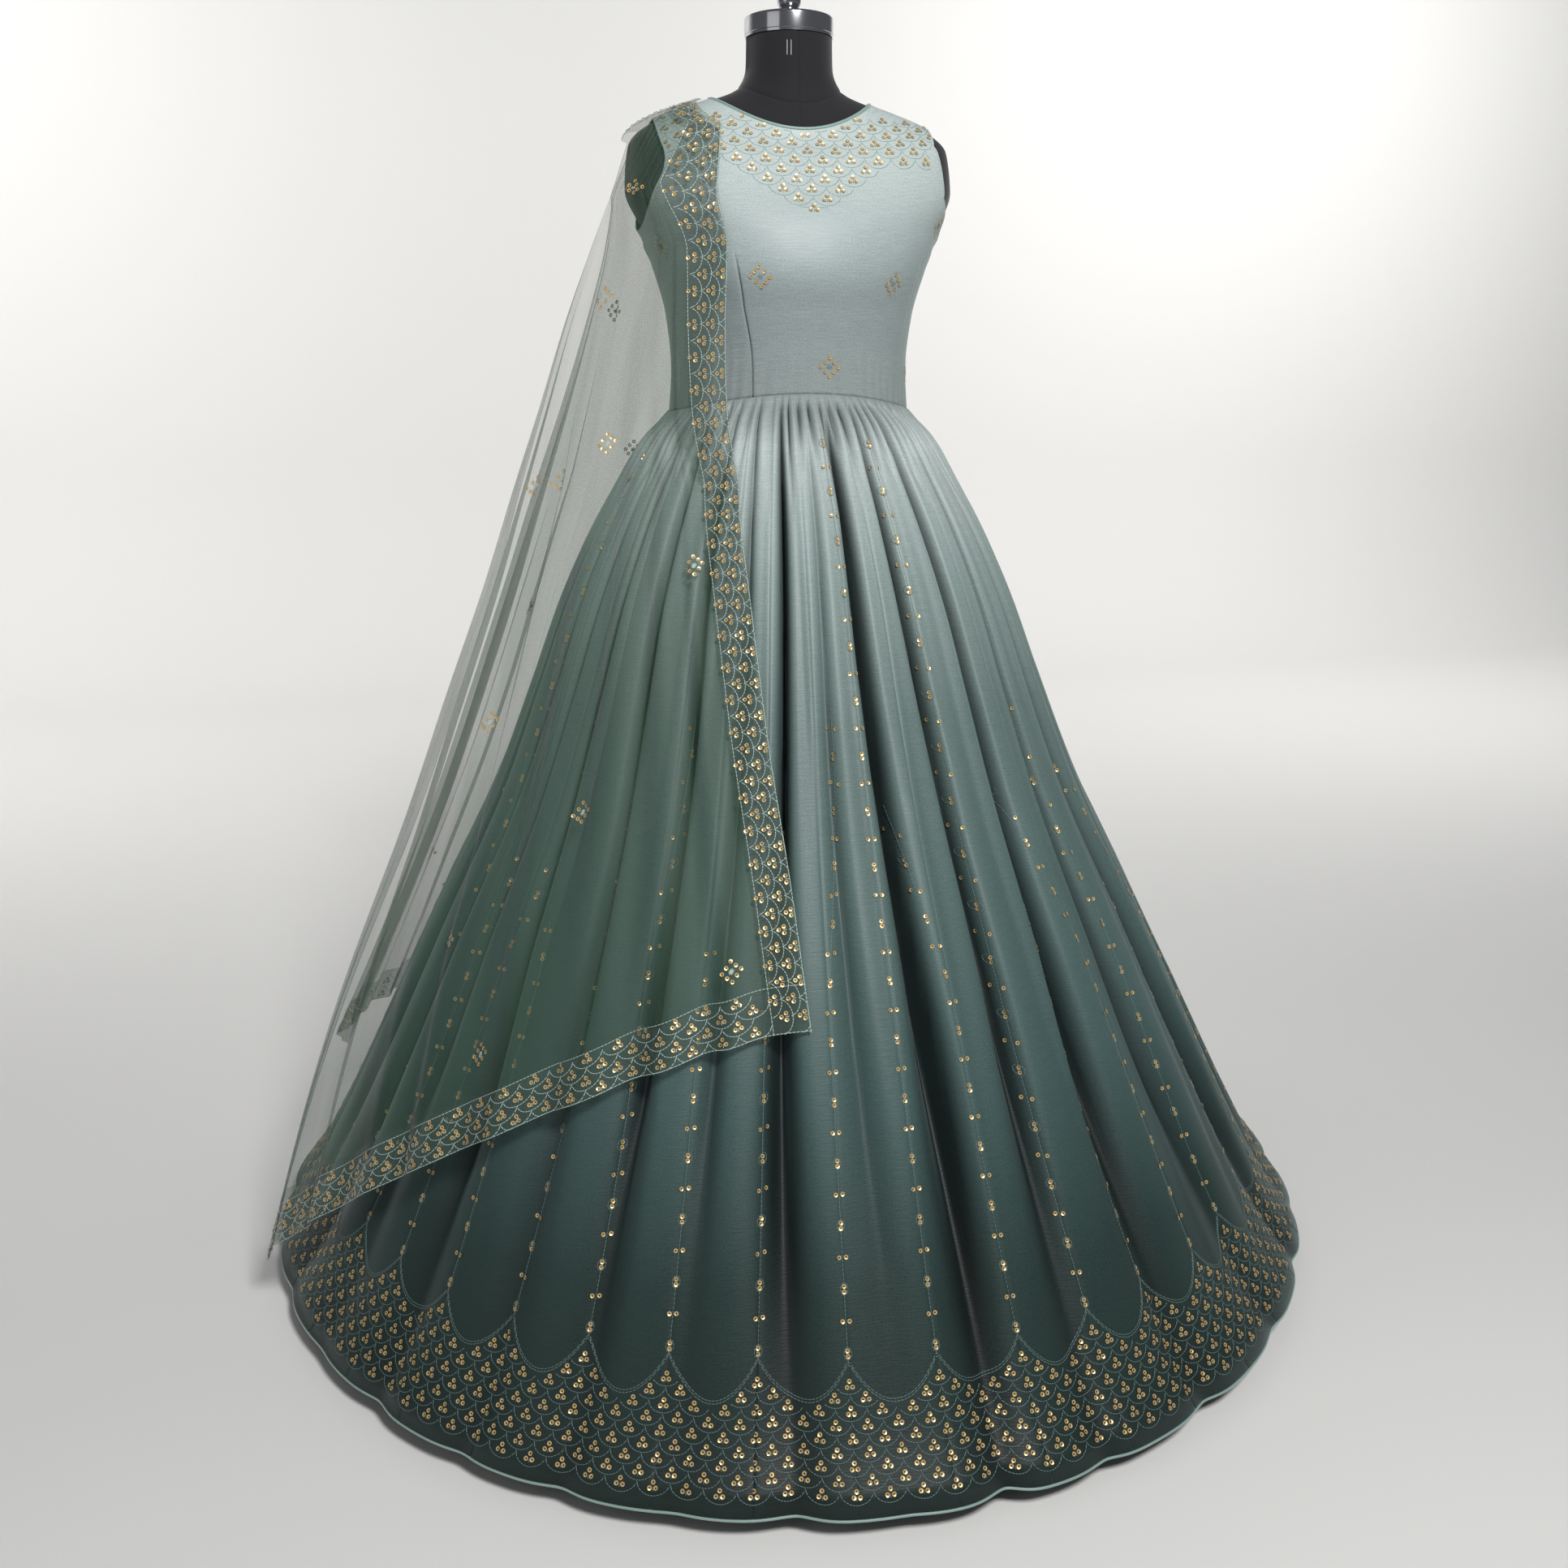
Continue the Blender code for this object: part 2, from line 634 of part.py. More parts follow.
def drape_base(share, run):
    """The middle of the drape. Share goes across from the inner edge, and run goes from the front end at -1 over
    the shoulder at 0 to the back end at 1."""
    behind = run > 0
    if behind:
        end = BACK_INNER_END + (BACK_OUTER_END - BACK_INNER_END) * share
    else:
        end = FRONT_INNER_END + (FRONT_OUTER_END - FRONT_INNER_END) * share**FRONT_END_BEND
    top = DRAPE_LEVELS[0].z
    way = abs(run)
    sign = -1 if behind else 1
    over = 0.07
    if way >= over:
        height = top + (end - top) * (way - over) / (1 - over)
        point, turn = drape_level(share, height, behind)
        open_share = smooth((way - over) / 0.5)
    else:
        # over the shoulder: along the bodice to the chest or the shoulder blade, then down to the first level
        part = way / over
        chest = shoulder_point(share, sign * min(part / CHEST_PART, 1.0))
        first, turn = drape_level(share, top, behind)
        down = max((part - CHEST_PART) / (1 - CHEST_PART), 0.0)
        point = chest * (1 - down) + first * down
        if down > 0:
            near = figure_reach(math.atan2(point[0], -point[1]), point[2]) + DRAPE_CLEARANCE
            point[:2] *= max(near / math.hypot(point[0], point[1]), 1.0)
        open_share = 0.0
    # fan pleats, narrow at the shoulder and broad at the end, and none in the border
    inside = smooth((share - BORDER_SHARE) / 0.10)
    height = 0.0016 + 0.0135 * open_share
    wave = height * inside * (1 - math.cos(2 * math.pi * DRAPE_PLEATS * (share - BORDER_SHARE) / (1 - BORDER_SHARE))) / 2
    axis = unit(np.array([point[0], point[1], 0.0]))
    lift = np.array([axis[0], axis[1], 0.0]) if way >= over else unit(axis + np.array([0, 0, 1.5 * (1 - way / over)]))
    return point + lift * wave


def drape_pair(share, run):
    middle = drape_base(share, run)
    kept_share = min(max(share, 2e-3), 1 - 2e-3)
    kept_run = min(max(run, -1 + 2e-3), 1 - 2e-3)
    normal = surface_normal(drape_base, kept_share, kept_run, 2e-3)
    half = normal * NET_WALL / 2
    return middle + half, middle - half


def make_drape():
    end_share = 0.042
    share_gap = 0.0006
    run_gap = 0.0003
    pleat_columns = evenly(BORDER_SHARE + share_gap, 1 - BORDER_SHARE, 2 * DRAPE_PLEATS)
    inner_columns = evenly(0.0, BORDER_SHARE - share_gap, 2)
    over = [-0.07, -0.055, -0.035, -0.018, 0.0, 0.018, 0.035, 0.055, 0.07]
    front = [-0.88, -0.78, -0.66, -0.54, -0.42, -0.31, -0.22, -0.14]
    back = [-run for run in reversed(front)]
    middle_rows = [-1 + end_share + run_gap] + front + over + back + [1 - end_share - run_gap]
    cloth_wall("drape_net", drape_pair, pleat_columns, middle_rows, "net")
    cloth_wall("drape_border_side", drape_pair, inner_columns, middle_rows, "net_border")
    end_columns = [0.0, BORDER_SHARE / 2] + pleat_columns
    cloth_wall("drape_border_front", drape_pair, end_columns, [-1.0, -1 + end_share - run_gap], "net_border")
    cloth_wall("drape_border_back", drape_pair, end_columns, [1 - end_share + run_gap, 1.0], "net_border")


clear_scene()
gown_parts = bpy.data.collections.new("chiffon_gown")
bpy.context.scene.collection.children.link(gown_parts)
make_torso()
make_stand()
make_neck_cap()
make_bodice_front()
make_bodice_back("bodice_back_left", 1)
make_bodice_back("bodice_back_right", -1)
make_neck_binding()
make_skirt()
make_hem_piping()
make_drape()
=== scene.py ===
# A floor-length sleeveless gown on a dress form, with a sheer sequined drape over one shoulder.
# Metres, +Z up, the front faces -Y. The cloth follows the same tables as its solids, with finer folds.
import math
from collections import namedtuple

import bpy
import numpy as np
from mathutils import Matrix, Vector


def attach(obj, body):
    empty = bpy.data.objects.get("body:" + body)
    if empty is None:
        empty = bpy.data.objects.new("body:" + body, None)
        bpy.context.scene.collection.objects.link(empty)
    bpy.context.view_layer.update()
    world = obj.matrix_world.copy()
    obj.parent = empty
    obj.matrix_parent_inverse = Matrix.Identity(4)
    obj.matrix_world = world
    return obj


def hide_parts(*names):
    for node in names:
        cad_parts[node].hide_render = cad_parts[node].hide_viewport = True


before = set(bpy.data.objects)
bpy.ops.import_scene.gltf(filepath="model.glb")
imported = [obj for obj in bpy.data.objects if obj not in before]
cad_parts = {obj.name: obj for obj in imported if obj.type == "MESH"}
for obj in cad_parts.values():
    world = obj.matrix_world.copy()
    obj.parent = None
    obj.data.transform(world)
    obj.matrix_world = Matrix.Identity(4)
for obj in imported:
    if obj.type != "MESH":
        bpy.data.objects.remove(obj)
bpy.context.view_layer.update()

# Cloth
GOWN_WALL = 0.0015
SEAM_GAP = 0.0003
PIPING_RADIUS = 0.0016

# The form's rings, from the hips up to the neck. A ring's height changes from its front to its side and back.
# Ease is how far the bodice stands off the form there.
Ring = namedtuple("Ring", "name half_width front back side_z front_z back_z power ease")
FIGURE = [
    Ring("hip_end", 0.152, 0.088, 0.104, 0.850, 0.850, 0.850, 2.0, 0.0020),
    Ring("hip", 0.170, 0.102, 0.124, 0.930, 0.930, 0.930, 2.0, 0.0020),
    Ring("high_hip", 0.158, 0.104, 0.108, 1.010, 1.015, 1.010, 2.0, 0.0020),
    Ring("waist", 0.1490, 0.106, 0.092, 1.088, 1.109, 1.098, 2.0, 0.0022),
    Ring("ribs", 0.1440, 0.112, 0.094, 1.145, 1.160, 1.155, 2.0, 0.0035),
    Ring("under_bust", 0.149, 0.124, 0.099, 1.205, 1.205, 1.212, 2.1, 0.0040),
    Ring("bust", 0.164, 0.137, 0.104, 1.258, 1.246, 1.264, 2.2, 0.0030),
    Ring("underarm", 0.180, 0.127, 0.109, 1.302, 1.295, 1.310, 2.3, 0.0045),
    Ring("arm", 0.201, 0.106, 0.108, 1.350, 1.340, 1.352, 2.5, 0.0045),
    Ring("arm_top", 0.196, 0.090, 0.096, 1.398, 1.372, 1.386, 2.4, 0.0045),
    Ring("shoulder", 0.166, 0.078, 0.080, 1.424, 1.392, 1.411, 2.2, 0.0026),
    Ring("mid_shoulder", 0.132, 0.074, 0.068, 1.438, 1.401, 1.427, 2.1, 0.0015),
    Ring("neckline", 0.100, 0.071, 0.060, 1.449, 1.409, 1.439, 2.0, 0.0011),
    Ring("neck_root", 0.064, 0.058, 0.052, 1.464, 1.440, 1.460, 2.0, 0.0011),
    Ring("neck_low", 0.0525, 0.052, 0.051, 1.488, 1.474, 1.487, 2.0, 0.0011),
    Ring("neck_top", 0.0515, 0.0515, 0.0515, 1.5210, 1.5210, 1.5210, 2.0, 0.0011),
]
RING_INDEX = {ring.name: index for index, ring in enumerate(FIGURE)}
ARMHOLE_ANGLE = math.radians(23)

# The skirt's outline over its fold crests, from the waist (fall 0) to the hem (fall 1)
Section = namedtuple("Section", "fall half_width front back")
SKIRT = [
    Section(0.000, 0.1548, 0.1113, 0.0973),
    Section(0.030, 0.1880, 0.1440, 0.1310),
    Section(0.080, 0.2220, 0.1820, 0.1700),
    Section(0.140, 0.2590, 0.2240, 0.2140),
    Section(0.215, 0.2970, 0.2670, 0.2590),
    Section(0.310, 0.3360, 0.3130, 0.3070),
    Section(0.440, 0.3920, 0.3780, 0.3740),
    Section(0.590, 0.4720, 0.4660, 0.4630),
    Section(0.745, 0.5520, 0.5530, 0.5520),
    Section(0.875, 0.6200, 0.6270, 0.6250),
    Section(0.950, 0.6640, 0.6740, 0.6720),
    Section(1.000, 0.7050, 0.7170, 0.7140),
]
HEM_Z = 0.030
SKIRT_HEIGHT = FIGURE[RING_INDEX["waist"]].front_z - HEM_Z

# The skirt's largest folds, from the back round the wearer's right, front and left. Each row is the valley
# that a fold starts at: its angle in degrees, its depth, and the drop of the next crest, in millimetres.
Fold = namedtuple("Fold", "angle valley crest")
FOLDS = [
    Fold(-174, 24, 3),
    Fold(-163, 30, 0),
    Fold(-150, 18, 4),
    Fold(-139, 34, 2),
    Fold(-127, 22, 0),
    Fold(-116, 28, 5),
    Fold(-106, 16, 1),
    Fold(-95, 30, 0),
    Fold(-84, 20, 4),
    Fold(-74, 26, 2),
    Fold(-64, 18, 5),
    Fold(-54, 30, 0),
    Fold(-42, 22, 3),
    Fold(-31, 28, 2),
    Fold(-21, 18, 4),
    Fold(-12, 38, 3),
    Fold(-3, 12, 0),
    Fold(6, 46, 1),
    Fold(17, 30, 4),
    Fold(30, 34, 0),
    Fold(43, 26, 2),
    Fold(56, 32, 1),
    Fold(68, 20, 4),
    Fold(79, 30, 0),
    Fold(90, 18, 3),
    Fold(101, 28, 1),
    Fold(113, 34, 0),
    Fold(126, 20, 5),
    Fold(137, 28, 2),
    Fold(149, 36, 0),
    Fold(162, 18, 3),
    Fold(174, 26, 1),
]
FOLD_ONSET = 0.6

# The drape hangs from the wearer's right shoulder. A level gives its height, the angles of the front half's
# inner and outer edges, the outer edge's distance from the axis, and the same for the half behind.
Level = namedtuple("Level", "z front_inner front_outer front_reach back_inner back_outer back_reach")
DRAPE_LEVELS = [
    Level(1.345, -44, -80, 0.222, -138, -98, 0.214),
    Level(1.280, -38, -86, 0.246, -145, -96, 0.226),
    Level(1.200, -37, -91, 0.275, -150, -94, 0.248),
    Level(1.090, -34, -94, 0.310, -152, -92, 0.282),
    Level(1.000, -28, -95, 0.340, -152, -91, 0.312),
    Level(0.880, -21, -96, 0.378, -153, -90, 0.350),
    Level(0.740, -16, -96, 0.430, -155, -90, 0.400),
    Level(0.560, -11, -95, 0.500, -153, -90, 0.470),
    Level(0.360, -8, -89, 0.592, -156, -90, 0.560),
    Level(0.060, -6, -76, 0.726, -158, -90, 0.705),
]
HANG_TOP_Z = 1.275
HANG_FOOT_Z = 1.010
DRAPE_WIDTH = 0.90
BORDER_WIDTH = 0.042
BORDER_SHARE = BORDER_WIDTH / DRAPE_WIDTH
FRONT_INNER_END = 0.452
FRONT_OUTER_END = 0.065
FRONT_END_BEND = 1.5
BACK_INNER_END = 0.170
BACK_OUTER_END = 0.270
DRAPE_PLEATS = 8
DRAPE_CLEARANCE = 0.0060
SHOULDER_CLEARANCE = 0.0022
SHOULDER_EXTRA = 0.0060
CHEST_PART = 0.62
SHOULDER_BORDER = 0.040

# The stand
BASE_RADIUS = 0.190
BASE_HEIGHT = 0.016
POLE_RADIUS = 0.0125
CAP_RADIUS = 0.0535
CAP_HEIGHT = 0.024
KNOB_RADIUS = 0.0145

# Kalis are the skirt's long tapered panels. Three neighbours stand for one node.
KALI_COUNT = 42
KALIS_PER_NODE = 3
KALI_TURN = 2 * math.pi / KALI_COUNT
FIRST_SEAM = math.radians(-15.2)
GATHER_COUNT = 84
GATHER_HEIGHT = 0.0135
GATHER_FULL_FALL = 0.02
GATHER_END = 0.105

# Soft creases between the large folds. Each has its angle, the falls where it starts and ends, its breadth
# beside the others', its lean in degrees, and its depth in millimetres, where a ridge is negative.
CREASE_WIDTH = 0.0080
Crease = namedtuple("Crease", "angle start end width lean depth")
CREASES = [
    Crease(-88.0, 0.05, 0.62, 1.27, 1.0, 3.2),
    Crease(-79.0, 0.02, 0.4, 1.02, -0.5, -2.4),
    Crease(-70.0, 0.1, 0.75, 1.36, 1.5, 4.0),
    Crease(-58.0, 0.03, 0.48, 0.94, 0.8, 3.2),
    Crease(-49.0, 0.06, 0.9, 1.27, -1.2, 4.4),
    Crease(-45.0, 0.02, 0.35, 0.85, 0.4, -2.4),
    Crease(-36.0, 0.04, 0.6, 1.02, 0.8, 3.6),
    Crease(-26.0, 0.02, 0.52, 0.94, -0.8, 4.0),
    Crease(-17.0, 0.05, 0.8, 1.02, 0.6, 3.6),
    Crease(-8.5, 0.02, 0.46, 0.77, 0.5, 4.0),
    Crease(-5.5, 0.08, 0.36, 0.68, -0.3, -2.4),
    Crease(0.5, 0.02, 0.7, 0.77, 1.0, 3.2),
    Crease(3.0, 0.02, 0.3, 0.68, 0.2, 3.6),
    Crease(9.5, 0.03, 0.42, 0.85, 0.6, 4.0),
    Crease(12.5, 0.1, 0.88, 1.02, -0.8, 4.4),
    Crease(20.5, 0.02, 0.38, 0.77, 0.5, 3.2),
    Crease(24.0, 0.04, 0.92, 1.1, 0.9, 4.8),
    Crease(34.0, 0.02, 0.45, 0.94, -0.6, 3.6),
    Crease(38.0, 0.12, 0.95, 1.19, 0.8, 4.4),
    Crease(47.0, 0.03, 0.55, 0.94, 0.6, 3.6),
    Crease(51.5, 0.3, 0.98, 1.27, -0.9, 4.8),
    Crease(61.0, 0.02, 0.6, 1.02, 0.5, 3.6),
    Crease(72.0, 0.05, 0.7, 1.19, -0.7, 4.0),
    Crease(83.0, 0.02, 0.5, 1.02, 0.8, 3.6),
]

# Short slanting wrinkles low on the skirt. Length and width are metres, slope is the rise over the run, and
# depth is millimetres.
WRINKLE_BEND = 0.15
Wrinkle = namedtuple("Wrinkle", "angle fall length width slope depth")
WRINKLES = [
    Wrinkle(-2, 0.800, 0.050, 0.0030, -0.25, 1.8),
    Wrinkle(1, 0.815, 0.060, 0.0035, 0.10, 2.2),
    Wrinkle(-1, 0.842, 0.045, 0.0030, -0.35, 1.8),
    Wrinkle(2, 0.870, 0.040, 0.0030, 0.30, 1.6),
    Wrinkle(9, 0.560, 0.045, 0.0030, 0.35, 1.8),
    Wrinkle(14, 0.430, 0.040, 0.0028, -0.30, 1.6),
    Wrinkle(1, 0.330, 0.035, 0.0026, 0.45, 1.8),
    Wrinkle(3, 0.480, 0.045, 0.0030, -0.40, 1.8),
    Wrinkle(24, 0.690, 0.050, 0.0034, 0.30, 1.8),
    Wrinkle(33, 0.780, 0.055, 0.0034, -0.30, 1.8),
    Wrinkle(-18, 0.770, 0.050, 0.0032, 0.35, 1.8),
    Wrinkle(-27, 0.860, 0.045, 0.0032, -0.25, 1.6),
    Wrinkle(-40, 0.800, 0.050, 0.0034, 0.25, 1.8),
    Wrinkle(48, 0.620, 0.050, 0.0034, -0.35, 1.8),
    Wrinkle(60, 0.820, 0.045, 0.0032, 0.30, 1.6),
    Wrinkle(-62, 0.700, 0.045, 0.0032, -0.30, 1.6),
]

# Ripples make gathers and creases uneven. Each is a count round the gown, a phase and a size.
Ripple = namedtuple("Ripple", "count phase size")
UNEVEN = [Ripple(5, 0.4, 0.30), Ripple(11, 2.1, 0.28), Ripple(23, 4.0, 0.24), Ripple(37, 1.3, 0.18)]

# The embroidery: scales with three sequins in each, in rows from an edge
SCALE_WIDTH = 0.0370
SCALE_DEPTH = 0.0115
SCALE_ROW = 0.0127
SEQUIN_RADIUS = 0.0025
SEQUIN_HOLE = 0.0010
STITCH_LENGTH = 0.0034
STITCH_GAP = 0.0010
STITCH_WIDTH = 0.0008
STITCH_RISE = 0.00055
STITCH_LIFT = 0.00005
HEM_FIRST_ROW = 0.021
HEM_ROWS = 9
ARCH_LOW = 0.102
ARCH_PEAK = 0.143
PAIR_SPACING = 0.031

# The photo's camera
CAMERA_AZIMUTH = math.radians(-12)
CAMERA_PITCH = 0.265044
CAMERA_DISTANCE = 1.943
CAMERA_HEIGHT = 1.124
CAMERA_SIDE = -0.006
CAMERA_LENS = 33.93


def smooth(share):
    """0 to 1 with level ends."""
    share = np.clip(share, 0.0, 1.0)
    return share * share * (3 - 2 * share)


def unit(vectors):
    return vectors / np.maximum(np.linalg.norm(vectors, axis=-1, keepdims=True), 1e-12)


def stacked(*values):
    return np.stack(np.broadcast_arrays(*values), axis=-1)


def wrapped(angle):
    """The same angle, counted from half a turn back to half a turn on."""
    return np.remainder(angle + math.pi, 2 * math.pi) - math.pi


def ripple(angle, waves):
    """An uneven wave round the gown, between about -1 and 1."""
    return sum(wave.size * np.sin(wave.count * angle + wave.phase) for wave in waves)


def table_curve(table, places, column):
    """A column of a table as a curve through its rows that doesn't overshoot."""
    xs = np.array(places, float)
    ys = np.array([getattr(row, column) for row in table], float)
    steps = np.diff(xs)
    rises = np.diff(ys) / steps
    before, after = rises[:-1], rises[1:]
    same_way = before * after > 0
    slopes = np.empty_like(ys)
    slopes[0] = rises[0]
    slopes[-1] = rises[-1]
    slopes[1:-1] = np.where(same_way, 2 * before * after / np.where(same_way, before + after, 1.0), 0.0)

    def curve(place):
        index = np.clip(np.searchsorted(xs, place, side="right") - 1, 0, len(xs) - 2)
        step = steps[index]
        share = (place - xs[index]) / step
        square = share * share
        cube = square * share
        return (
            (2 * cube - 3 * square + 1) * ys[index]
            + (cube - 2 * square + share) * step * slopes[index]
            + (3 * square - 2 * cube) * ys[index + 1]
            + (cube - square) * step * slopes[index + 1]
        )

    return curve


def table_curves(table, places, columns):
    return {column: table_curve(table, places, column) for column in columns}


FIGURE_CURVES = table_curves(FIGURE, range(len(FIGURE)), Ring._fields[1:])
SKIRT_CURVES = table_curves(SKIRT, [section.fall for section in SKIRT], Section._fields[1:])
# Heights run downwards, so their places are counted down from zero
LEVEL_CURVES = table_curves(DRAPE_LEVELS, [-level.z for level in DRAPE_LEVELS], Level._fields[1:])


def signed_power(value, power):
    return np.sign(value) * np.abs(value) ** power


def surface_normal(surface, first, second, step=1e-3):
    """The unit normal of surface(first, second), by small steps."""
    along_first = surface(first + step, second) - surface(first - step, second)
    along_second = surface(first, second + step) - surface(first, second - step)
    return unit(np.cross(along_first, along_second))


# Surfaces

def figure_base(angle, place):
    """A point on the form. Angle 0 is the front and grows to the wearer's left. Place counts the rings."""
    ring = {name: curve(place) for name, curve in FIGURE_CURVES.items()}
    across = signed_power(np.sin(angle), 2 / ring["power"])
    along = signed_power(np.cos(angle), 2 / ring["power"])
    depth = np.where(along > 0, ring["front"], ring["back"])
    end_z = np.where(along > 0, ring["front_z"], ring["back_z"])
    height = end_z + (ring["side_z"] - end_z) * np.sin(angle) ** 2
    return stacked(ring["half_width"] * across, -depth * along, height)


def figure_point(angle, place, offset):
    kept = np.clip(place, 1e-3, len(FIGURE) - 1 - 1e-3)
    normal = surface_normal(figure_base, angle, kept)
    return figure_base(angle, place) + normal * np.asarray(offset)[..., None]


# The armholes are cut a little wider here than in the solids
ARMHOLE_WIDENING = 1.75
ARMHOLE_FOOT = RING_INDEX["underarm"] + 0.05
ARMHOLE_FULLNESS = 0.6


def armhole_opening(place):
    """How far the armhole's edge lies from the side and shoulder seams, as an angle."""
    share = np.clip((place - ARMHOLE_FOOT) / (RING_INDEX["shoulder"] - ARMHOLE_FOOT), 0.0, 1.0)
    return ARMHOLE_WIDENING * ARMHOLE_ANGLE * np.sin(math.pi * share) ** ARMHOLE_FULLNESS


# The two waist darts, as angles at a list of places
DART_PLACES = [3.0, 3.8, 5.1, 6.2]
DART_RIGHT = [-0.45, -0.47, -0.515, -0.506]
DART_LEFT = [1.06, 1.04, 1.02, 0.98]
DART_WIDTH = 0.0075
DART_DEPTH = 0.0022
DART_BEYOND = 0.3
DART_FADE = 0.5
# The drag wrinkles over the waist, with the place where they have faded out
DRAG_COUNT = 58
DRAG_HEIGHT = 0.0009
DRAG_TOP = 4.6
DRAG_FADE = 1.4
# The soft pulls under the arm
PULL_HEIGHT = 0.0012
PULL_FOOT = 6.0
PULL_TOP = 8.3
PULL_FADE = 0.8


def dart_groove(angle, place):
    groove = 0.0
    for line in (DART_RIGHT, DART_LEFT):
        away = (angle - np.interp(place, DART_PLACES, line)) / DART_WIDTH
        fade = smooth((DART_PLACES[-1] + DART_BEYOND - place) / DART_FADE)
        groove = groove + DART_DEPTH * fade * np.exp(-away * away)
    return groove


def bodice_relief(angle, place):
    """Darts, drag wrinkles over the waist and soft pulls under the arm."""
    near_waist = smooth((DRAG_TOP + 0.9 * ripple(angle, UNEVEN) - place) / DRAG_FADE)
    unevenness = 0.55 + 0.45 * ripple(2 * angle, UNEVEN)
    wrinkles = DRAG_HEIGHT * near_waist * unevenness * np.sin(DRAG_COUNT * angle + 1.5 * np.sin(9 * angle))
    under_arm = smooth((np.abs(angle) - 1.0) / 0.5)
    under_arm = under_arm * smooth((place - PULL_FOOT) / PULL_FADE) * smooth((PULL_TOP - place) / PULL_FADE)
    pulls = PULL_HEIGHT * under_arm * np.sin(3.1 * place * np.pi + 7 * angle)
    return wrinkles + pulls - dart_groove(angle, place)


def bodice_point(angle, place, lift=0.0):
    """The bodice's outer face."""
    offset = FIGURE_CURVES["ease"](place) + GOWN_WALL + bodice_relief(angle, place) + lift
    return figure_point(angle, place, offset)


def waist_z(angle):
    return figure_base(angle, np.full_like(angle, RING_INDEX["waist"], dtype=float))[..., 2]


FOLD_ANGLES = np.radians([fold.angle for fold in FOLDS])
FOLD_VALLEYS = np.array([fold.valley for fold in FOLDS]) / 1000
FOLD_CRESTS = np.array([fold.crest for fold in FOLDS]) / 1000
DEEPEST_VALLEY = FOLD_VALLEYS.max()
FOLD_ENDS = np.append(FOLD_ANGLES[1:], FOLD_ANGLES[0] + 2 * math.pi)
FOLD_MEAN_TURN = 2 * math.pi / len(FOLDS)

# Slots are narrower and deeper here than the solids' valleys, begin sooner, and grow shallow at the hem
SLOT_DEEPEN = 1.25
SLOT_CONTRAST = 0.5
SLOT_WIDTH = 0.0036
SLOT_SLOPE = 1.25
HEM_WIDENING = 3.2
ROUNDNESS = 0.15
FOLD_LEAN = 0.10
VALLEY_FULL = 0.17
OPENS_FROM_FALL = 0.42
HEM_SHALLOW = 0.76
SHALLOW_FROM_FALL = 0.62
FOLD_DRIFT = math.radians(0.9)
DRIFT_BY_FALL = 0.3
FOLD_SLOTS = SLOT_DEEPEN * FOLD_VALLEYS * (FOLD_VALLEYS / DEEPEST_VALLEY) ** SLOT_CONTRAST

# The depths of a slot, a gather and a crease at which their painted shade is darkest
SLOT_SHADE_DEPTH = 0.022
GATHER_SHADE_DEPTH = 0.013
CREASE_SHADE_DEPTH = 0.030

# The gathered edge stands up a little over the bodice's, down to this fall
WAIST_LAP = 0.0024
LAP_FALL = 0.01


def fold_drop(angle, fall, half_width):
    """How far the cloth lies below its outline, in two parts: rounded crests, and the narrow deep slots
    between them, which open out into soft hollows towards the hem."""
    turn = (angle - FOLD_ANGLES[0]) % (2 * math.pi) + FOLD_ANGLES[0]
    index = np.clip(np.searchsorted(FOLD_ANGLES, turn, side="right") - 1, 0, len(FOLDS) - 1)
    width = FOLD_ENDS[index] - FOLD_ANGLES[index]
    share = (turn - FOLD_ANGLES[index]) / width
    next_index = (index + 1) % len(FOLDS)
    low = smooth((fall - OPENS_FROM_FALL) / (1 - OPENS_FROM_FALL))
    slot_width = SLOT_WIDTH * (1 + 0.6 * smooth(fall / 0.4)) * (1 + HEM_WIDENING * low)
    # the two sides of a slot differ in breadth
    from_start = share * width * half_width / slot_width
    to_end = (1 - share) * width * half_width / (slot_width * SLOT_SLOPE)
    slots = FOLD_SLOTS[index] * np.exp(-from_start**1.7) + FOLD_SLOTS[next_index] * np.exp(-to_end**1.7)
    leaned = share + FOLD_LEAN * np.sin(math.pi * share)
    roundness = ROUNDNESS * (1 - 0.85 * low) * np.abs(2 * leaned - 1) ** 2.2
    crests = FOLD_CRESTS[index] * np.sin(math.pi * share) + roundness * half_width * FOLD_MEAN_TURN
    return crests, slots


def gather_wave(angle, fall):
    """The gathers at the waist, uneven in size and length, which run out into the folds."""
    uneven = ripple(angle, UNEVEN)
    rise = 0.05 + 0.95 * smooth(fall / GATHER_FULL_FALL)
    end = GATHER_END * (1 + 0.7 * ripple(3 * angle + 1.0, UNEVEN))
    fade = 1 - smooth((fall - GATHER_FULL_FALL) / (end - GATHER_FULL_FALL))
    phase = GATHER_COUNT * (angle - FIRST_SEAM) + 2.8 * uneven
    ridge = np.abs(np.cos(phase / 2)) ** 0.8
    return GATHER_HEIGHT * (1 + 0.7 * uneven) * rise * fade * (ridge - 1)


def in_front_and_behind(table):
    """Each row of a table with its angle, and then each one again with its angle turned round to the back."""
    return [(row, math.radians(row.angle) + half_turn) for half_turn in (0.0, math.pi) for row in table]


def crease_drop(angle, fall, half_width):
    drop = np.zeros(np.broadcast(angle, fall).shape)
    for crease, middle in in_front_and_behind(CREASES):
        along = np.clip((fall - crease.start) / (crease.end - crease.start), 0.0, 1.0)
        away = wrapped(angle - (middle + math.radians(crease.lean) * along))
        side = np.where(away * crease.lean > 0, 0.6, 1.3)
        width = crease.width * CREASE_WIDTH * (1 + 1.3 * along) * side
        bell = np.exp(-(away * half_width / width) ** 2)
        drop += crease.depth / 1000 * np.sin(math.pi * along) ** 0.7 * bell
    return drop


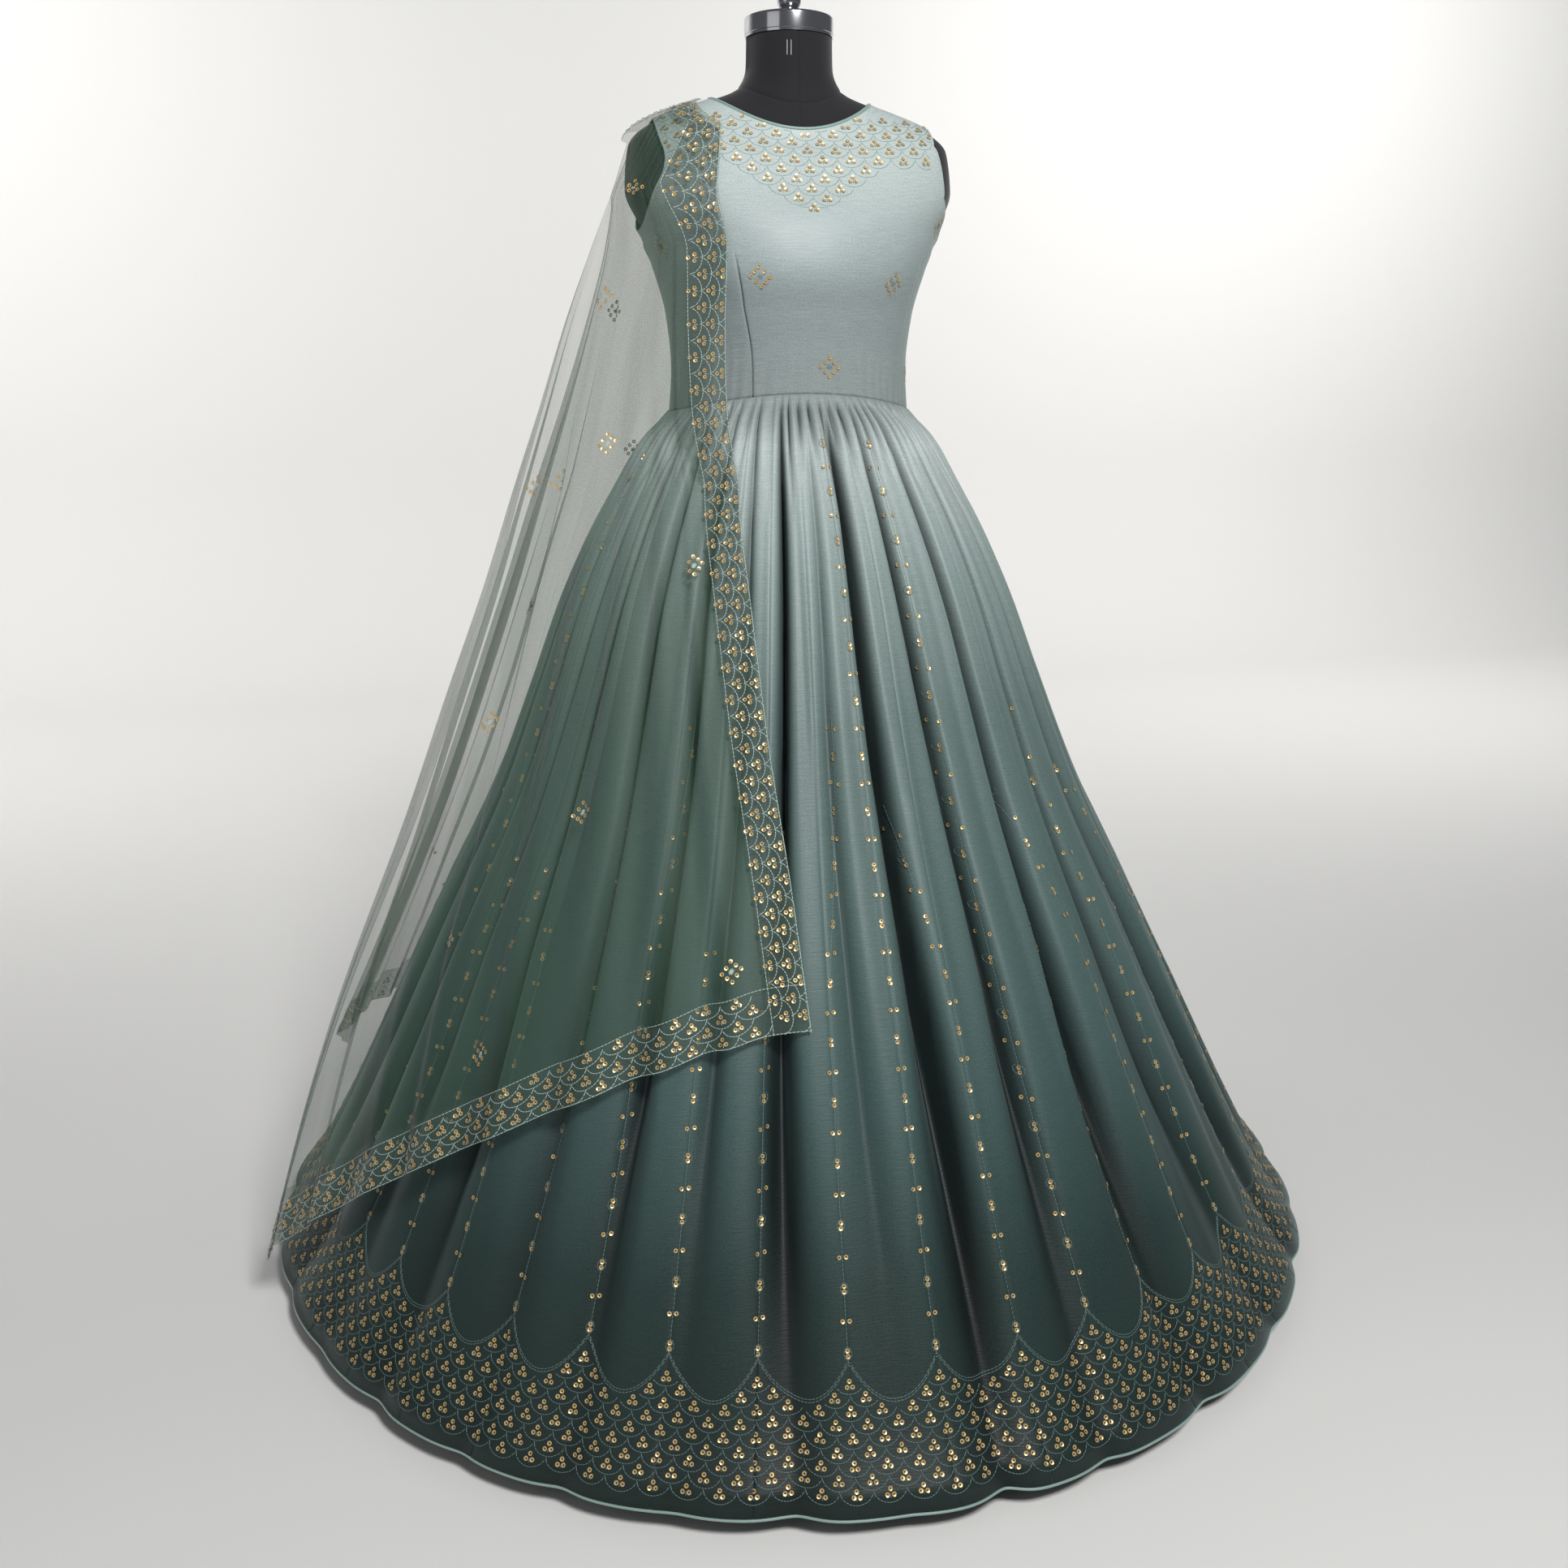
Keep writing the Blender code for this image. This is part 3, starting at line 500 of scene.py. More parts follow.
def wrinkle_drop(angle, fall, half_width):
    drop = np.zeros(np.broadcast(angle, fall).shape)
    for wrinkle, middle in in_front_and_behind(WRINKLES):
        aside = wrapped(angle - middle) * half_width
        reach = aside / wrinkle.length
        up = (wrinkle.fall - fall) * SKIRT_HEIGHT - wrinkle.slope * aside
        away = (up - WRINKLE_BEND * wrinkle.length * np.cos(reach)) / wrinkle.width
        drop += wrinkle.depth / 1000 * away * np.exp(-away * away - reach * reach)
    return drop


def skirt_drops(angle, fall, half_width):
    """How far the cloth lies below the skirt's outline, and how deep in a fold it is, from 0 to 1, which sets
    the painted shade there.
    """
    shallow = HEM_SHALLOW * smooth((fall - SHALLOW_FROM_FALL) / (1 - SHALLOW_FROM_FALL))
    spread = smooth(fall / VALLEY_FULL) ** FOLD_ONSET * (1 - shallow)
    drift = FOLD_DRIFT * np.sin(5.0 * fall + 7 * angle) * smooth(fall / DRIFT_BY_FALL)
    crests, slots = fold_drop(angle + drift, fall, half_width)
    gathers = -gather_wave(angle, fall)
    creases = crease_drop(angle, fall, half_width)
    drop = (crests + slots) * spread + gathers + creases + wrinkle_drop(angle, fall, half_width)
    # painted shade: the colour grows darker the deeper a slot, gather or crease lies
    painted_shade = slots * spread / SLOT_SHADE_DEPTH + (gathers / GATHER_SHADE_DEPTH) ** 2
    painted_shade = painted_shade + np.maximum(creases, 0.0) / CREASE_SHADE_DEPTH
    return drop, np.clip(painted_shade, 0.0, 1.0)


def skirt_outline(angle, fall):
    """The skirt's half width, and its depth in front or behind."""
    depth = np.where(np.cos(angle) > 0, SKIRT_CURVES["front"](fall), SKIRT_CURVES["back"](fall))
    return SKIRT_CURVES["half_width"](fall), depth


def skirt_base(angle, fall):
    """The middle of the skirt's wall."""
    half_width, depth = skirt_outline(angle, np.clip(fall, 0.0, 1.0))
    top = waist_z(angle) - SEAM_GAP + WAIST_LAP * smooth(1 - fall / LAP_FALL)
    height = top + (HEM_Z - top) * fall
    point = stacked(half_width * np.sin(angle), -depth * np.cos(angle), height)
    outward = unit(stacked(np.sin(angle) / half_width, -np.cos(angle) / depth, 0.0 * fall))
    drop, _ = skirt_drops(angle, fall, half_width)
    return point - outward * drop[..., None]


def skirt_normal(angle, fall):
    # angle and fall run clockwise seen from outside, so the normal is turned
    return -surface_normal(skirt_base, angle, np.clip(fall, 1e-3, 1 - 1e-3))


# The drape's surface

OVER_SHOULDER = 0.07
WAIST_FALL = 0.03
FINE_PLEATS = 17
BROAD_PLEAT_HEIGHT = 0.0125
FINE_PLEAT_HEIGHT = 0.0042
SHOULDER_INNER_TURN = math.radians(55)
SHOULDER_OUTER_TURN = math.radians(24)
REACH_PLACES = np.linspace(3, 11.9, 37)


def figure_reach(angle, height):
    """How far the bodice reaches from the axis at an angle and a height."""
    side = np.abs(wrapped(angle))
    front = side < math.pi / 2
    heights = []
    reaches = []
    for place in REACH_PLACES:
        ring = {name: curve(place) for name, curve in FIGURE_CURVES.items()}
        steepness = np.abs(np.tan(side)) * np.where(front, ring["front"], ring["back"]) / ring["half_width"]
        turn = np.arctan(steepness ** (ring["power"] / 2))
        point = figure_base(np.where(front, turn, math.pi - turn), np.full_like(turn, place))
        heights.append(point[..., 2])
        reaches.append(np.hypot(point[..., 0], point[..., 1]) + ring["ease"] + GOWN_WALL)
    heights = np.array(heights)
    reaches = np.array(reaches)
    index = np.clip((heights < height).sum(axis=0) - 1, 0, len(REACH_PLACES) - 2)[None]
    low = np.take_along_axis(heights, index, 0)[0]
    high = np.take_along_axis(heights, index + 1, 0)[0]
    share = np.clip((height - low) / (high - low), 0.0, 1.0)
    near = np.take_along_axis(reaches, index, 0)[0]
    return near + (np.take_along_axis(reaches, index + 1, 0)[0] - near) * share


def cloth_reach(angle, height):
    """How far the gown's own cloth reaches from the axis at an angle and a height."""
    top = waist_z(angle)
    above = figure_reach(angle, height)
    fall = np.clip((top - height) / (top - HEM_Z), 0.0, 1.0)
    half_width, depth = skirt_outline(angle, fall)
    below = 1 / np.hypot(np.sin(angle) / half_width, np.cos(angle) / depth)
    near_waist = np.where(fall < WAIST_FALL, np.maximum(above, below), below)
    return np.where(height >= top, above, near_waist)


def hang_reach(angle, height):
    """The gown's reach, bridged where the drape hangs straight from the chest or the back to the skirt."""
    reach = cloth_reach(angle, height)
    part = np.clip((height - HANG_FOOT_Z) / (HANG_TOP_Z - HANG_FOOT_Z), 0.0, 1.0)
    foot = cloth_reach(angle, np.full_like(angle, HANG_FOOT_Z))
    top = cloth_reach(angle, np.full_like(angle, HANG_TOP_Z))
    bridged = (part > 0) & (part < 1)
    return np.where(bridged, np.maximum(reach, foot * (1 - part) + top * part), reach)


def across_share(share, border_turn):
    """The border keeps its own width, and the rest of the drape takes up the rest of the turn."""
    beyond = border_turn + (1 - border_turn) * (share - BORDER_SHARE) / (1 - BORDER_SHARE)
    return np.where(share < BORDER_SHARE, border_turn * share / BORDER_SHARE, beyond)


def drape_level(share, height, behind):
    """A point of the drape at a share of its width from the inner edge, at a height."""
    inner, outer, reach = (
        np.where(behind, LEVEL_CURVES[f"back_{name}"](-height), LEVEL_CURVES[f"front_{name}"](-height))
        for name in ("inner", "outer", "reach")
    )
    inner, outer = np.radians(inner), np.radians(outer)
    near = hang_reach(inner, height)
    border_turn = np.minimum(BORDER_WIDTH / (near * np.abs(outer - inner)), 0.6)
    turn = across_share(share, border_turn)
    angle = inner + (outer - inner) * turn
    clearance = DRAPE_CLEARANCE + SHOULDER_EXTRA * smooth((height - HANG_TOP_Z) / 0.05)
    near = hang_reach(angle, height) + clearance
    away = smooth((turn - 0.15) / 0.85)
    distance = near + np.maximum(reach - near, 0.0) * away
    return stacked(distance * np.sin(angle), -distance * np.cos(angle), height)


def shoulder_point(share, turn):
    """A point where the drape crosses the shoulder. Turn is 0 on the seam, 1 on the chest, -1 behind."""
    seam_length = abs(FIGURE[RING_INDEX["neckline"]].half_width - FIGURE[RING_INDEX["arm"]].half_width)
    across = across_share(share, SHOULDER_BORDER / seam_length)
    place = RING_INDEX["neckline"] - 0.15 - 2.75 * across - 1.55 * (1 - across) * np.abs(turn)
    angle = (SHOULDER_INNER_TURN + (SHOULDER_OUTER_TURN - SHOULDER_INNER_TURN) * across) * turn
    extra = FIGURE_CURVES["ease"](place) + GOWN_WALL + SHOULDER_CLEARANCE
    return figure_point(-math.pi / 2 + angle, place, extra + 1.5 * SHOULDER_EXTRA * np.abs(turn))


def drape_waves(share, open_share):
    """Fan pleats, narrow at the shoulder, with finer ones in the part that hangs free."""
    along = (share - BORDER_SHARE) / (1 - BORDER_SHARE)
    inside = smooth((share - BORDER_SHARE) / 0.10)
    broad = (1 - np.cos(2 * math.pi * DRAPE_PLEATS * along + 0.8 * np.sin(9 * along))) / 2
    fine = (1 - np.cos(2 * math.pi * FINE_PLEATS * along + 1.7 * np.sin(13 * along))) / 2
    free = smooth((along - 0.35) / 0.5)
    broad_height = 0.0012 + BROAD_PLEAT_HEIGHT * open_share
    fine_height = 0.0005 + (0.0008 + FINE_PLEAT_HEIGHT * free) * open_share
    return inside * (broad_height * broad + fine_height * fine)


def drape_base(share, run):
    """The drape's surface. Share goes across from the inner edge, and run goes from the front end at -1 over
    the shoulder at 0 to the back end at 1."""
    behind = run > 0
    bent = np.clip(share, 0, 1) ** FRONT_END_BEND
    front_end = FRONT_INNER_END + (FRONT_OUTER_END - FRONT_INNER_END) * bent
    back_end = BACK_INNER_END + (BACK_OUTER_END - BACK_INNER_END) * share
    end = np.where(behind, back_end, front_end)
    top = DRAPE_LEVELS[0].z
    way = np.abs(run)
    far = way >= OVER_SHOULDER
    height = np.where(far, top + (end - top) * (way - OVER_SHOULDER) / (1 - OVER_SHOULDER), top)
    level = drape_level(share, height, behind)
    part = np.clip(way / OVER_SHOULDER, 0.0, 1.0)
    sign = np.where(behind, -1.0, 1.0)
    chest = shoulder_point(share, sign * np.minimum(part / CHEST_PART, 1.0))
    down = np.clip((part - CHEST_PART) / (1 - CHEST_PART), 0.0, 1.0)[..., None]
    point = chest * (1 - down) + level * down
    distance = np.hypot(point[..., 0], point[..., 1])
    near = figure_reach(np.arctan2(point[..., 0], -point[..., 1]), point[..., 2]) + DRAPE_CLEARANCE
    push = np.where(down[..., 0] > 0, np.maximum(near / distance, 1.0), 1.0)
    point = np.concatenate([point[..., :2] * push[..., None], point[..., 2:]], axis=-1)
    point = np.where(far[..., None], level, point)
    axis = unit(stacked(point[..., 0], point[..., 1], 0.0))
    rise = 1.5 * (1 - part)
    lift = unit(axis + stacked(0.0, 0.0, rise))
    open_share = smooth((way - OVER_SHOULDER) / 0.5)
    return point + lift * drape_waves(share, open_share)[..., None]


# Meshes

def grid_faces(rows, columns, start=0, flip=False, closed=False):
    """The quads of a grid of points, row by row."""
    row = np.arange(rows - 1)[:, None] * columns
    column = np.arange(columns if closed else columns - 1)[None, :]
    after = (column + 1) % columns
    corners = [row + column, row + after, row + columns + after, row + columns + column]
    if flip:
        corners = [corners[0], corners[3], corners[2], corners[1]]
    return start + np.stack([corner.ravel() for corner in corners], axis=-1)


def add_piece(name, points, faces, look, nodes=(), uvs=None, flat=False, hollows=None):
    """A mesh that rides with the gown and stands for the named solids. Hollows say how deep in a fold each
    point is, from 0 to 1, and darken its colour there as painted shade."""
    mesh = bpy.data.meshes.new(name)
    points = np.asarray(points, np.float32).reshape(-1, 3)
    faces = [np.asarray(face, np.int32) for face in faces]
    corners = np.concatenate([face.ravel() for face in faces])
    sizes = np.concatenate([np.full(len(face), face.shape[1]) for face in faces])
    mesh.vertices.add(len(points))
    mesh.vertices.foreach_set("co", points.ravel())
    mesh.loops.add(len(corners))
    mesh.loops.foreach_set("vertex_index", corners)
    mesh.polygons.add(len(sizes))
    mesh.polygons.foreach_set("loop_start", np.concatenate([[0], np.cumsum(sizes)[:-1]]).astype(np.int32))
    if not flat:
        mesh.polygons.foreach_set("use_smooth", np.ones(len(sizes), bool))
    mesh.update(calc_edges=True)
    if uvs is not None:
        layer = mesh.uv_layers.new(name="cloth")
        layer.uv.foreach_set("vector", np.asarray(uvs, np.float32).reshape(-1, 2)[corners].ravel())
    if hollows is not None:
        attribute = mesh.attributes.new("painted_shade", "FLOAT", "POINT")
        attribute.data.foreach_set("value", np.asarray(hollows, np.float32).ravel())
    mesh.materials.append(look)
    piece = bpy.data.objects.new(name, mesh)
    bpy.context.scene.collection.objects.link(piece)
    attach(piece, "root")
    if nodes:
        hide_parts(*nodes)
    return piece


def cloth_measures(points):
    """Each grid point's place on the cloth in metres, along the rows and up the columns."""
    across = np.linalg.norm(np.diff(points, axis=1), axis=-1)
    up = np.linalg.norm(np.diff(points, axis=0), axis=-1).mean(axis=1)
    u = np.concatenate([np.zeros((len(points), 1)), np.cumsum(across, axis=1)], axis=1)
    v = np.append(0.0, np.cumsum(up))
    return stacked(u - u[:, -1:] / 2, v[:, None])


def shell(name, outer, inner, look, nodes, hollows):
    """A closed wall between two grids of points."""
    rows, columns = outer.shape[:2]
    layer = rows * columns
    uv = cloth_measures(outer)
    rim = np.concatenate(
        [
            np.arange(columns),
            np.arange(1, rows) * columns + columns - 1,
            (rows - 1) * columns + np.arange(columns - 2, -1, -1),
            np.arange(rows - 2, 0, -1) * columns,
        ]
    )
    after = np.roll(rim, -1)
    walls = np.stack([rim, layer + rim, layer + after, after], axis=-1)
    faces = [grid_faces(rows, columns), grid_faces(rows, columns, layer, flip=True), walls]
    points, uvs, hollows = (np.stack(pair) for pair in ((outer, inner), (uv, uv), (hollows, hollows)))
    return add_piece(name, points, faces, look, nodes, uvs, hollows=hollows)


def circles(aside, up, turns):
    """Rings of unit arms, one for each pair of crossing directions."""
    return np.cos(turns)[None, :, None] * aside[:, None] + np.sin(turns)[None, :, None] * up[:, None]


def tube(name, centres, radius, sides, look, nodes):
    """A closed loop of piping."""
    along = unit(np.roll(centres, -1, axis=0) - np.roll(centres, 1, axis=0))
    outward = unit(np.cross(along, np.array([0.0, 0.0, 1.0])))
    upward = np.cross(outward, along)
    turns = 2 * math.pi * (np.arange(sides) + 0.5) / sides
    points = centres[:, None] + radius * circles(outward, upward, turns)
    points = np.concatenate([points, points[:1]])
    uv = cloth_measures(points)
    kept = len(centres) * sides
    faces = grid_faces(len(centres) + 1, sides, flip=True, closed=True)
    faces = np.where(faces >= kept, faces - kept, faces)
    return add_piece(name, points[:-1], [faces], look, nodes, uv[:-1])


def arc(middle, height, radius, first, last, step):
    """Rows of (radius, height) round a corner. Turns are degrees from straight up."""
    turns = np.radians(np.arange(first, last + 1, step))
    return [(middle + radius * math.sin(turn), height + radius * math.cos(turn)) for turn in turns]


def turned(name, profile, segments, look, nodes):
    """A solid turned about the vertical axis, from (radius, height) rows that run from the top down."""
    turns = 2 * math.pi * np.arange(segments) / segments
    inner = np.array(profile[1:-1])
    rings = stacked(inner[:, :1] * np.cos(turns), inner[:, :1] * np.sin(turns), inner[:, 1:])
    points = np.concatenate([[[0, 0, profile[0][1]]], rings.reshape(-1, 3), [[0, 0, profile[-1][1]]]])
    bottom = len(points) - 1
    last = 1 + (len(inner) - 1) * segments
    here = np.arange(segments)
    after = (here + 1) % segments
    caps = [
        np.stack([np.zeros_like(here), 1 + here, 1 + after], axis=-1),
        np.stack([np.full_like(here, bottom), last + after, last + here], axis=-1),
    ]
    sides = grid_faces(len(inner), segments, 1, flip=True, closed=True)
    piece = add_piece(name, points, [sides, *caps], look, nodes)
    piece.data.set_sharp_from_angle(angle=math.radians(35))
    return piece


# Looks

def srgb(red, green, blue):
    """A colour for a shader, from its values on a screen."""
    linear = [((value / 255 + 0.055) / 1.055) ** 2.4 for value in (red, green, blue)]
    return (*linear, 1.0)


class Look:
    """A material and short ways to add its nodes."""

    def __init__(self, name, **values):
        self.material = bpy.data.materials.new(name)
        self.material.use_nodes = True
        self.nodes = self.material.node_tree.nodes
        self.links = self.material.node_tree.links
        self.shader = self.nodes["Principled BSDF"]
        for socket, value in values.items():
            self.shader.inputs[socket.replace("_", " ")].default_value = value

    def add(self, kind, **values):
        node = self.nodes.new(kind)
        for name, value in values.items():
            setattr(node, name, value)
        return node

    def join(self, source, target):
        self.links.new(source, target)

    def number(self, operation, first, second=None, third=None):
        """A node that reckons with one to three numbers or outputs."""
        node = self.add("ShaderNodeMath", operation=operation)
        for socket, value in zip(node.inputs, (first, second, third)):
            if value is None:
                continue
            if isinstance(value, (int, float)):
                socket.default_value = value
            else:
                self.join(value, socket)
        return node.outputs[0]

    def mix(self, blend, share, first, second):
        node = self.add("ShaderNodeMix", data_type="RGBA", blend_type=blend)
        for socket, value in zip((node.inputs[0], node.inputs[6], node.inputs[7]), (share, first, second)):
            if isinstance(value, (int, float, tuple)):
                socket.default_value = value
            else:
                self.join(value, socket)
        return node.outputs[2]

    def noise(self, vector, scale, detail=2.0):
        node = self.add("ShaderNodeTexNoise")
        node.inputs["Scale"].default_value = scale
        node.inputs["Detail"].default_value = detail
        self.join(vector, node.inputs["Vector"])
        return node.outputs["Fac"]

    def stretched(self, vector, scale):
        node = self.add("ShaderNodeMapping")
        node.inputs["Scale"].default_value = scale
        self.join(vector, node.inputs["Vector"])
        return node.outputs["Vector"]

    def range(self, value, low, high, to_low, to_high):
        node = self.add("ShaderNodeMapRange")
        for socket, given in zip(node.inputs[1:5], (low, high, to_low, to_high)):
            socket.default_value = given
        self.join(value, node.inputs[0])
        return node.outputs[0]

    def bump(self, height, strength, distance):
        node = self.add("ShaderNodeBump")
        node.inputs["Strength"].default_value = strength
        node.inputs["Distance"].default_value = distance
        self.join(height, node.inputs["Height"])
        self.join(node.outputs["Normal"], self.shader.inputs["Normal"])


# The gown's colour at heights above the floor
Shade = namedtuple("Shade", "z red green blue")
GOWN_SHADES = [
    Shade(0.03, 23, 38, 35),
    Shade(0.20, 34, 54, 51),
    Shade(0.38, 64, 87, 85),
    Shade(0.56, 80, 101, 98),
    Shade(0.75, 98, 116, 113),
    Shade(0.90, 128, 144, 141),
    Shade(1.05, 168, 179, 177),
    Shade(1.10, 136, 145, 144),
    Shade(1.25, 143, 154, 154),
    Shade(1.40, 176, 187, 184),
]
# How much of the colour is left at the bottom of a fold, where the fold's shade is painted into the colour
FOLD_SHADE_COLOUR_LEFT = 0.16


def gown_look():
    look = Look(
        "gown_cloth",
        Roughness=0.46,
        Sheen_Weight=0.12,
        Sheen_Roughness=0.45,
        Sheen_Tint=(0.60, 0.90, 0.88, 1),
        Specular_IOR_Level=0.32,
    )
    place = look.add("ShaderNodeTexCoord").outputs["Object"]
    parts = look.add("ShaderNodeSeparateXYZ")
    look.join(place, parts.inputs[0])
    sway = look.number("MULTIPLY", look.number("SUBTRACT", look.noise(place, 3.0), 0.5), 0.05)
    height = look.number("ADD", parts.outputs["Z"], sway)
    ramp = look.add("ShaderNodeValToRGB")
    top = GOWN_SHADES[-1].z
    look.join(look.number("DIVIDE", height, top), ramp.inputs["Fac"])
    stops = ramp.color_ramp.elements
    for index, shade in enumerate(GOWN_SHADES):
        stop = stops[index] if index < 2 else stops.new(shade.z / top)
        stop.position = shade.z / top
        stop.color = srgb(*shade[1:])
    cloth = look.add("ShaderNodeUVMap", uv_map="cloth").outputs["UV"]
    weft = look.noise(look.stretched(cloth, (40.0, 700.0, 1.0)), 1.0, 3.0)
    warp = look.noise(look.stretched(cloth, (700.0, 400.0, 1.0)), 1.0, 3.0)
    grain = look.noise(look.stretched(cloth, (420.0, 560.0, 1.0)), 1.0, 2.0)
    threads = look.number("ADD", look.number("MULTIPLY", weft, 0.7), look.number("MULTIPLY", warp, 0.3))
    weave = look.number("MULTIPLY", look.number("ADD", threads, grain), 0.5)
    shade = look.range(weave, 0.3, 0.7, 0.76, 1.24)
    # little light reaches down into a fold
    painted_shade = look.add("ShaderNodeAttribute", attribute_name="painted_shade").outputs["Fac"]
    shade = look.number("MULTIPLY", shade, look.range(painted_shade, 0.0, 1.0, 1.0, FOLD_SHADE_COLOUR_LEFT))
    tinted = look.mix("MULTIPLY", 1.0, ramp.outputs["Color"], shade)
    look.join(tinted, look.shader.inputs["Base Color"])
    look.join(look.range(grain, 0.3, 0.7, 0.38, 0.56), look.shader.inputs["Roughness"])
    look.bump(threads, 0.55, 0.0005)
    return look.material


def net_look(name, colour, cover, gap):
    """Sheer net: fine threads with holes between them."""
    look = Look(
        name,
        Base_Color=srgb(*colour),
        Roughness=0.55,
        Sheen_Weight=0.25,
        Sheen_Roughness=0.4,
        Specular_IOR_Level=0.30,
    )
    cloth = look.add("ShaderNodeUVMap", uv_map="cloth").outputs["UV"]
    cell = look.noise(look.stretched(cloth, (0.8 / gap, 0.8 / gap, 1.0)), 1.0, 2.0)
    cloud = look.noise(look.stretched(cloth, (26.0, 1.6, 1.0)), 1.0, 3.0)
    fine = look.range(cell, 0.35, 0.65, cover * 0.78, min(cover * 1.22, 1.0))
    alpha = look.number("MULTIPLY", fine, look.range(cloud, 0.3, 0.7, 0.82, 1.20))
    look.join(alpha, look.shader.inputs["Alpha"])
    look.bump(cell, 0.15, 0.0004)
    return look.material


def plain_look(name, colour, **values):
    return Look(name, Base_Color=srgb(*colour), **values).material


def jersey_look():
    look = Look(
        "form_cover",
        Base_Color=srgb(27, 27, 30),
        Roughness=0.82,
        Sheen_Weight=0.22,
        Sheen_Roughness=0.5,
        Specular_IOR_Level=0.25,
    )
    place = look.add("ShaderNodeTexCoord").outputs["Object"]
    look.bump(look.noise(look.stretched(place, (900.0, 900.0, 1300.0)), 1.0, 2.0), 0.25, 0.0004)
    return look.material


LOOKS = {
    "gown": gown_look(),
    "net": net_look("net", (64, 93, 74), 0.33, 0.0011),
    "border": net_look("net_border", (66, 86, 77), 0.52, 0.0009),
    "piping": plain_look("piping", (132, 158, 150), Roughness=0.42, Sheen_Weight=0.3),
    "hem_thread": plain_look("hem_thread", (88, 110, 107), Roughness=0.5, Sheen_Weight=0.2),
    "yoke_thread": plain_look("yoke_thread", (112, 134, 132), Roughness=0.5, Sheen_Weight=0.2),
    "drape_thread": plain_look("drape_thread", (168, 184, 176), Roughness=0.5, Sheen_Weight=0.2),
    "sequin": plain_look("sequin", (206, 176, 121), Roughness=0.34, Metallic=0.45),
    "form": jersey_look(),
    "seam": plain_look("form_stitches", (176, 182, 184), Roughness=0.6),
    "chrome": plain_look("chrome", (190, 190, 194), Roughness=0.14, Metallic=1.0),
}


# The dress form. Its cover has a seam round the neck, one down the front and one down the back.

TORSO_COLUMNS = 144
TORSO_ROWS = 150
NECK_SEAM_PLACE = 13.05
FORM_SEAM_DEPTH = 0.0009
FORM_SEAM_WIDTH = 0.0016


def torso_point(angle, place):
    """The form with its seams as fine grooves."""
    half_width = FIGURE_CURVES["half_width"](place)
    neck_z = figure_base(angle, np.full_like(angle, NECK_SEAM_PLACE))[..., 2]
    across = (figure_base(angle, place)[..., 2] - neck_z) / FORM_SEAM_WIDTH
    groove = np.exp(-across * across)
    for seam in (0.0, math.pi):
        away = wrapped(angle - seam) * half_width / FORM_SEAM_WIDTH
        groove = groove + np.exp(-away * away)
    return figure_point(angle, place, -FORM_SEAM_DEPTH * np.minimum(groove, 1.0))


def make_torso():
    # five close columns follow the front seam, and seven close rows follow the seam round the neck
    evenly_round = -math.pi + 2 * math.pi * np.arange(TORSO_COLUMNS) / TORSO_COLUMNS
    fine = 0.012 * np.array([-2, -1, 0, 1, 2])
    angles = np.sort(np.concatenate([evenly_round[np.abs(evenly_round) > 0.03], fine]))
    places = np.linspace(0, len(FIGURE) - 1, TORSO_ROWS)
    places = np.sort(np.concatenate([places, NECK_SEAM_PLACE + 0.02 * np.arange(-3, 4)]))
    points = torso_point(*np.meshgrid(angles, places))
    columns = len(angles)
    ends = [points[0].mean(axis=0), points[-1].mean(axis=0)]
    total = points.shape[0] * columns
    ring = np.arange(columns)
    after = (ring + 1) % columns
    top = total - columns
    faces = [
        grid_faces(points.shape[0], columns, closed=True),
        np.stack([np.full(columns, total), after, ring], axis=-1),
        np.stack([np.full(columns, total + 1), top + ring, top + after], axis=-1),
    ]
    points = np.concatenate([points.reshape(-1, 3), ends])
    piece = add_piece("form_torso_cover", points, faces, LOOKS["form"], ["form_torso"])
    piece.data.set_sharp_from_angle(angle=math.radians(50))


def make_stand():
    torso_end = FIGURE[0].side_z - SEAM_GAP
    profile = [
        (0.0, torso_end),
        (0.028, torso_end),
        (0.030, torso_end - 0.002),
        (0.030, torso_end - 0.018),
        (0.028, torso_end - 0.020),
        (POLE_RADIUS, torso_end - 0.020),
        (POLE_RADIUS, BASE_HEIGHT + 0.020),
        (0.016, BASE_HEIGHT + 0.012),
        (0.024, BASE_HEIGHT + 0.008),
        (0.060, BASE_HEIGHT),
        *arc(BASE_RADIUS - 0.006, BASE_HEIGHT - 0.012, 0.006, 0, 90, 15),
        (BASE_RADIUS, 0.0),
        (0.0, 0.0),
    ]
    turned("stand_turned", profile, 96, LOOKS["chrome"], ["stand"])


def make_neck_cap():
    bottom = FIGURE[-1].side_z + SEAM_GAP
    top = bottom + CAP_HEIGHT
    knob_centre = top + 0.004 + KNOB_RADIUS
    profile = [
        (0.0, knob_centre + KNOB_RADIUS),
        *arc(0.0, knob_centre, KNOB_RADIUS, 10, 150, 10),
        (0.0085, top + 0.0040),
        (0.0110, top + 0.0015),
        (0.0150, top + 0.0006),
        (0.030, top),
        (CAP_RADIUS - 0.0045, top - 0.0008),
        *arc(CAP_RADIUS - 0.003, top - 0.0045, 0.003, 0, 90, 15),
        (CAP_RADIUS, bottom + 0.0035),
        (CAP_RADIUS - 0.0008, bottom + 0.0030),
        (CAP_RADIUS - 0.0008, bottom),
        (0.0, bottom),
    ]
    turned("neck_cap_turned", profile, 96, LOOKS["chrome"], ["neck_cap"])


# The bodice

BODICE_FOOT = RING_INDEX["waist"]
BODICE_TOP = RING_INDEX["neckline"]
# Half the gap at a bodice seam, as an angle
BODICE_GAP = 1e-5
DART_SHARES = (0.33, 0.82)
# How dark the painted shade in a dart's groove is
DART_PAINTED_SHADE = 0.4


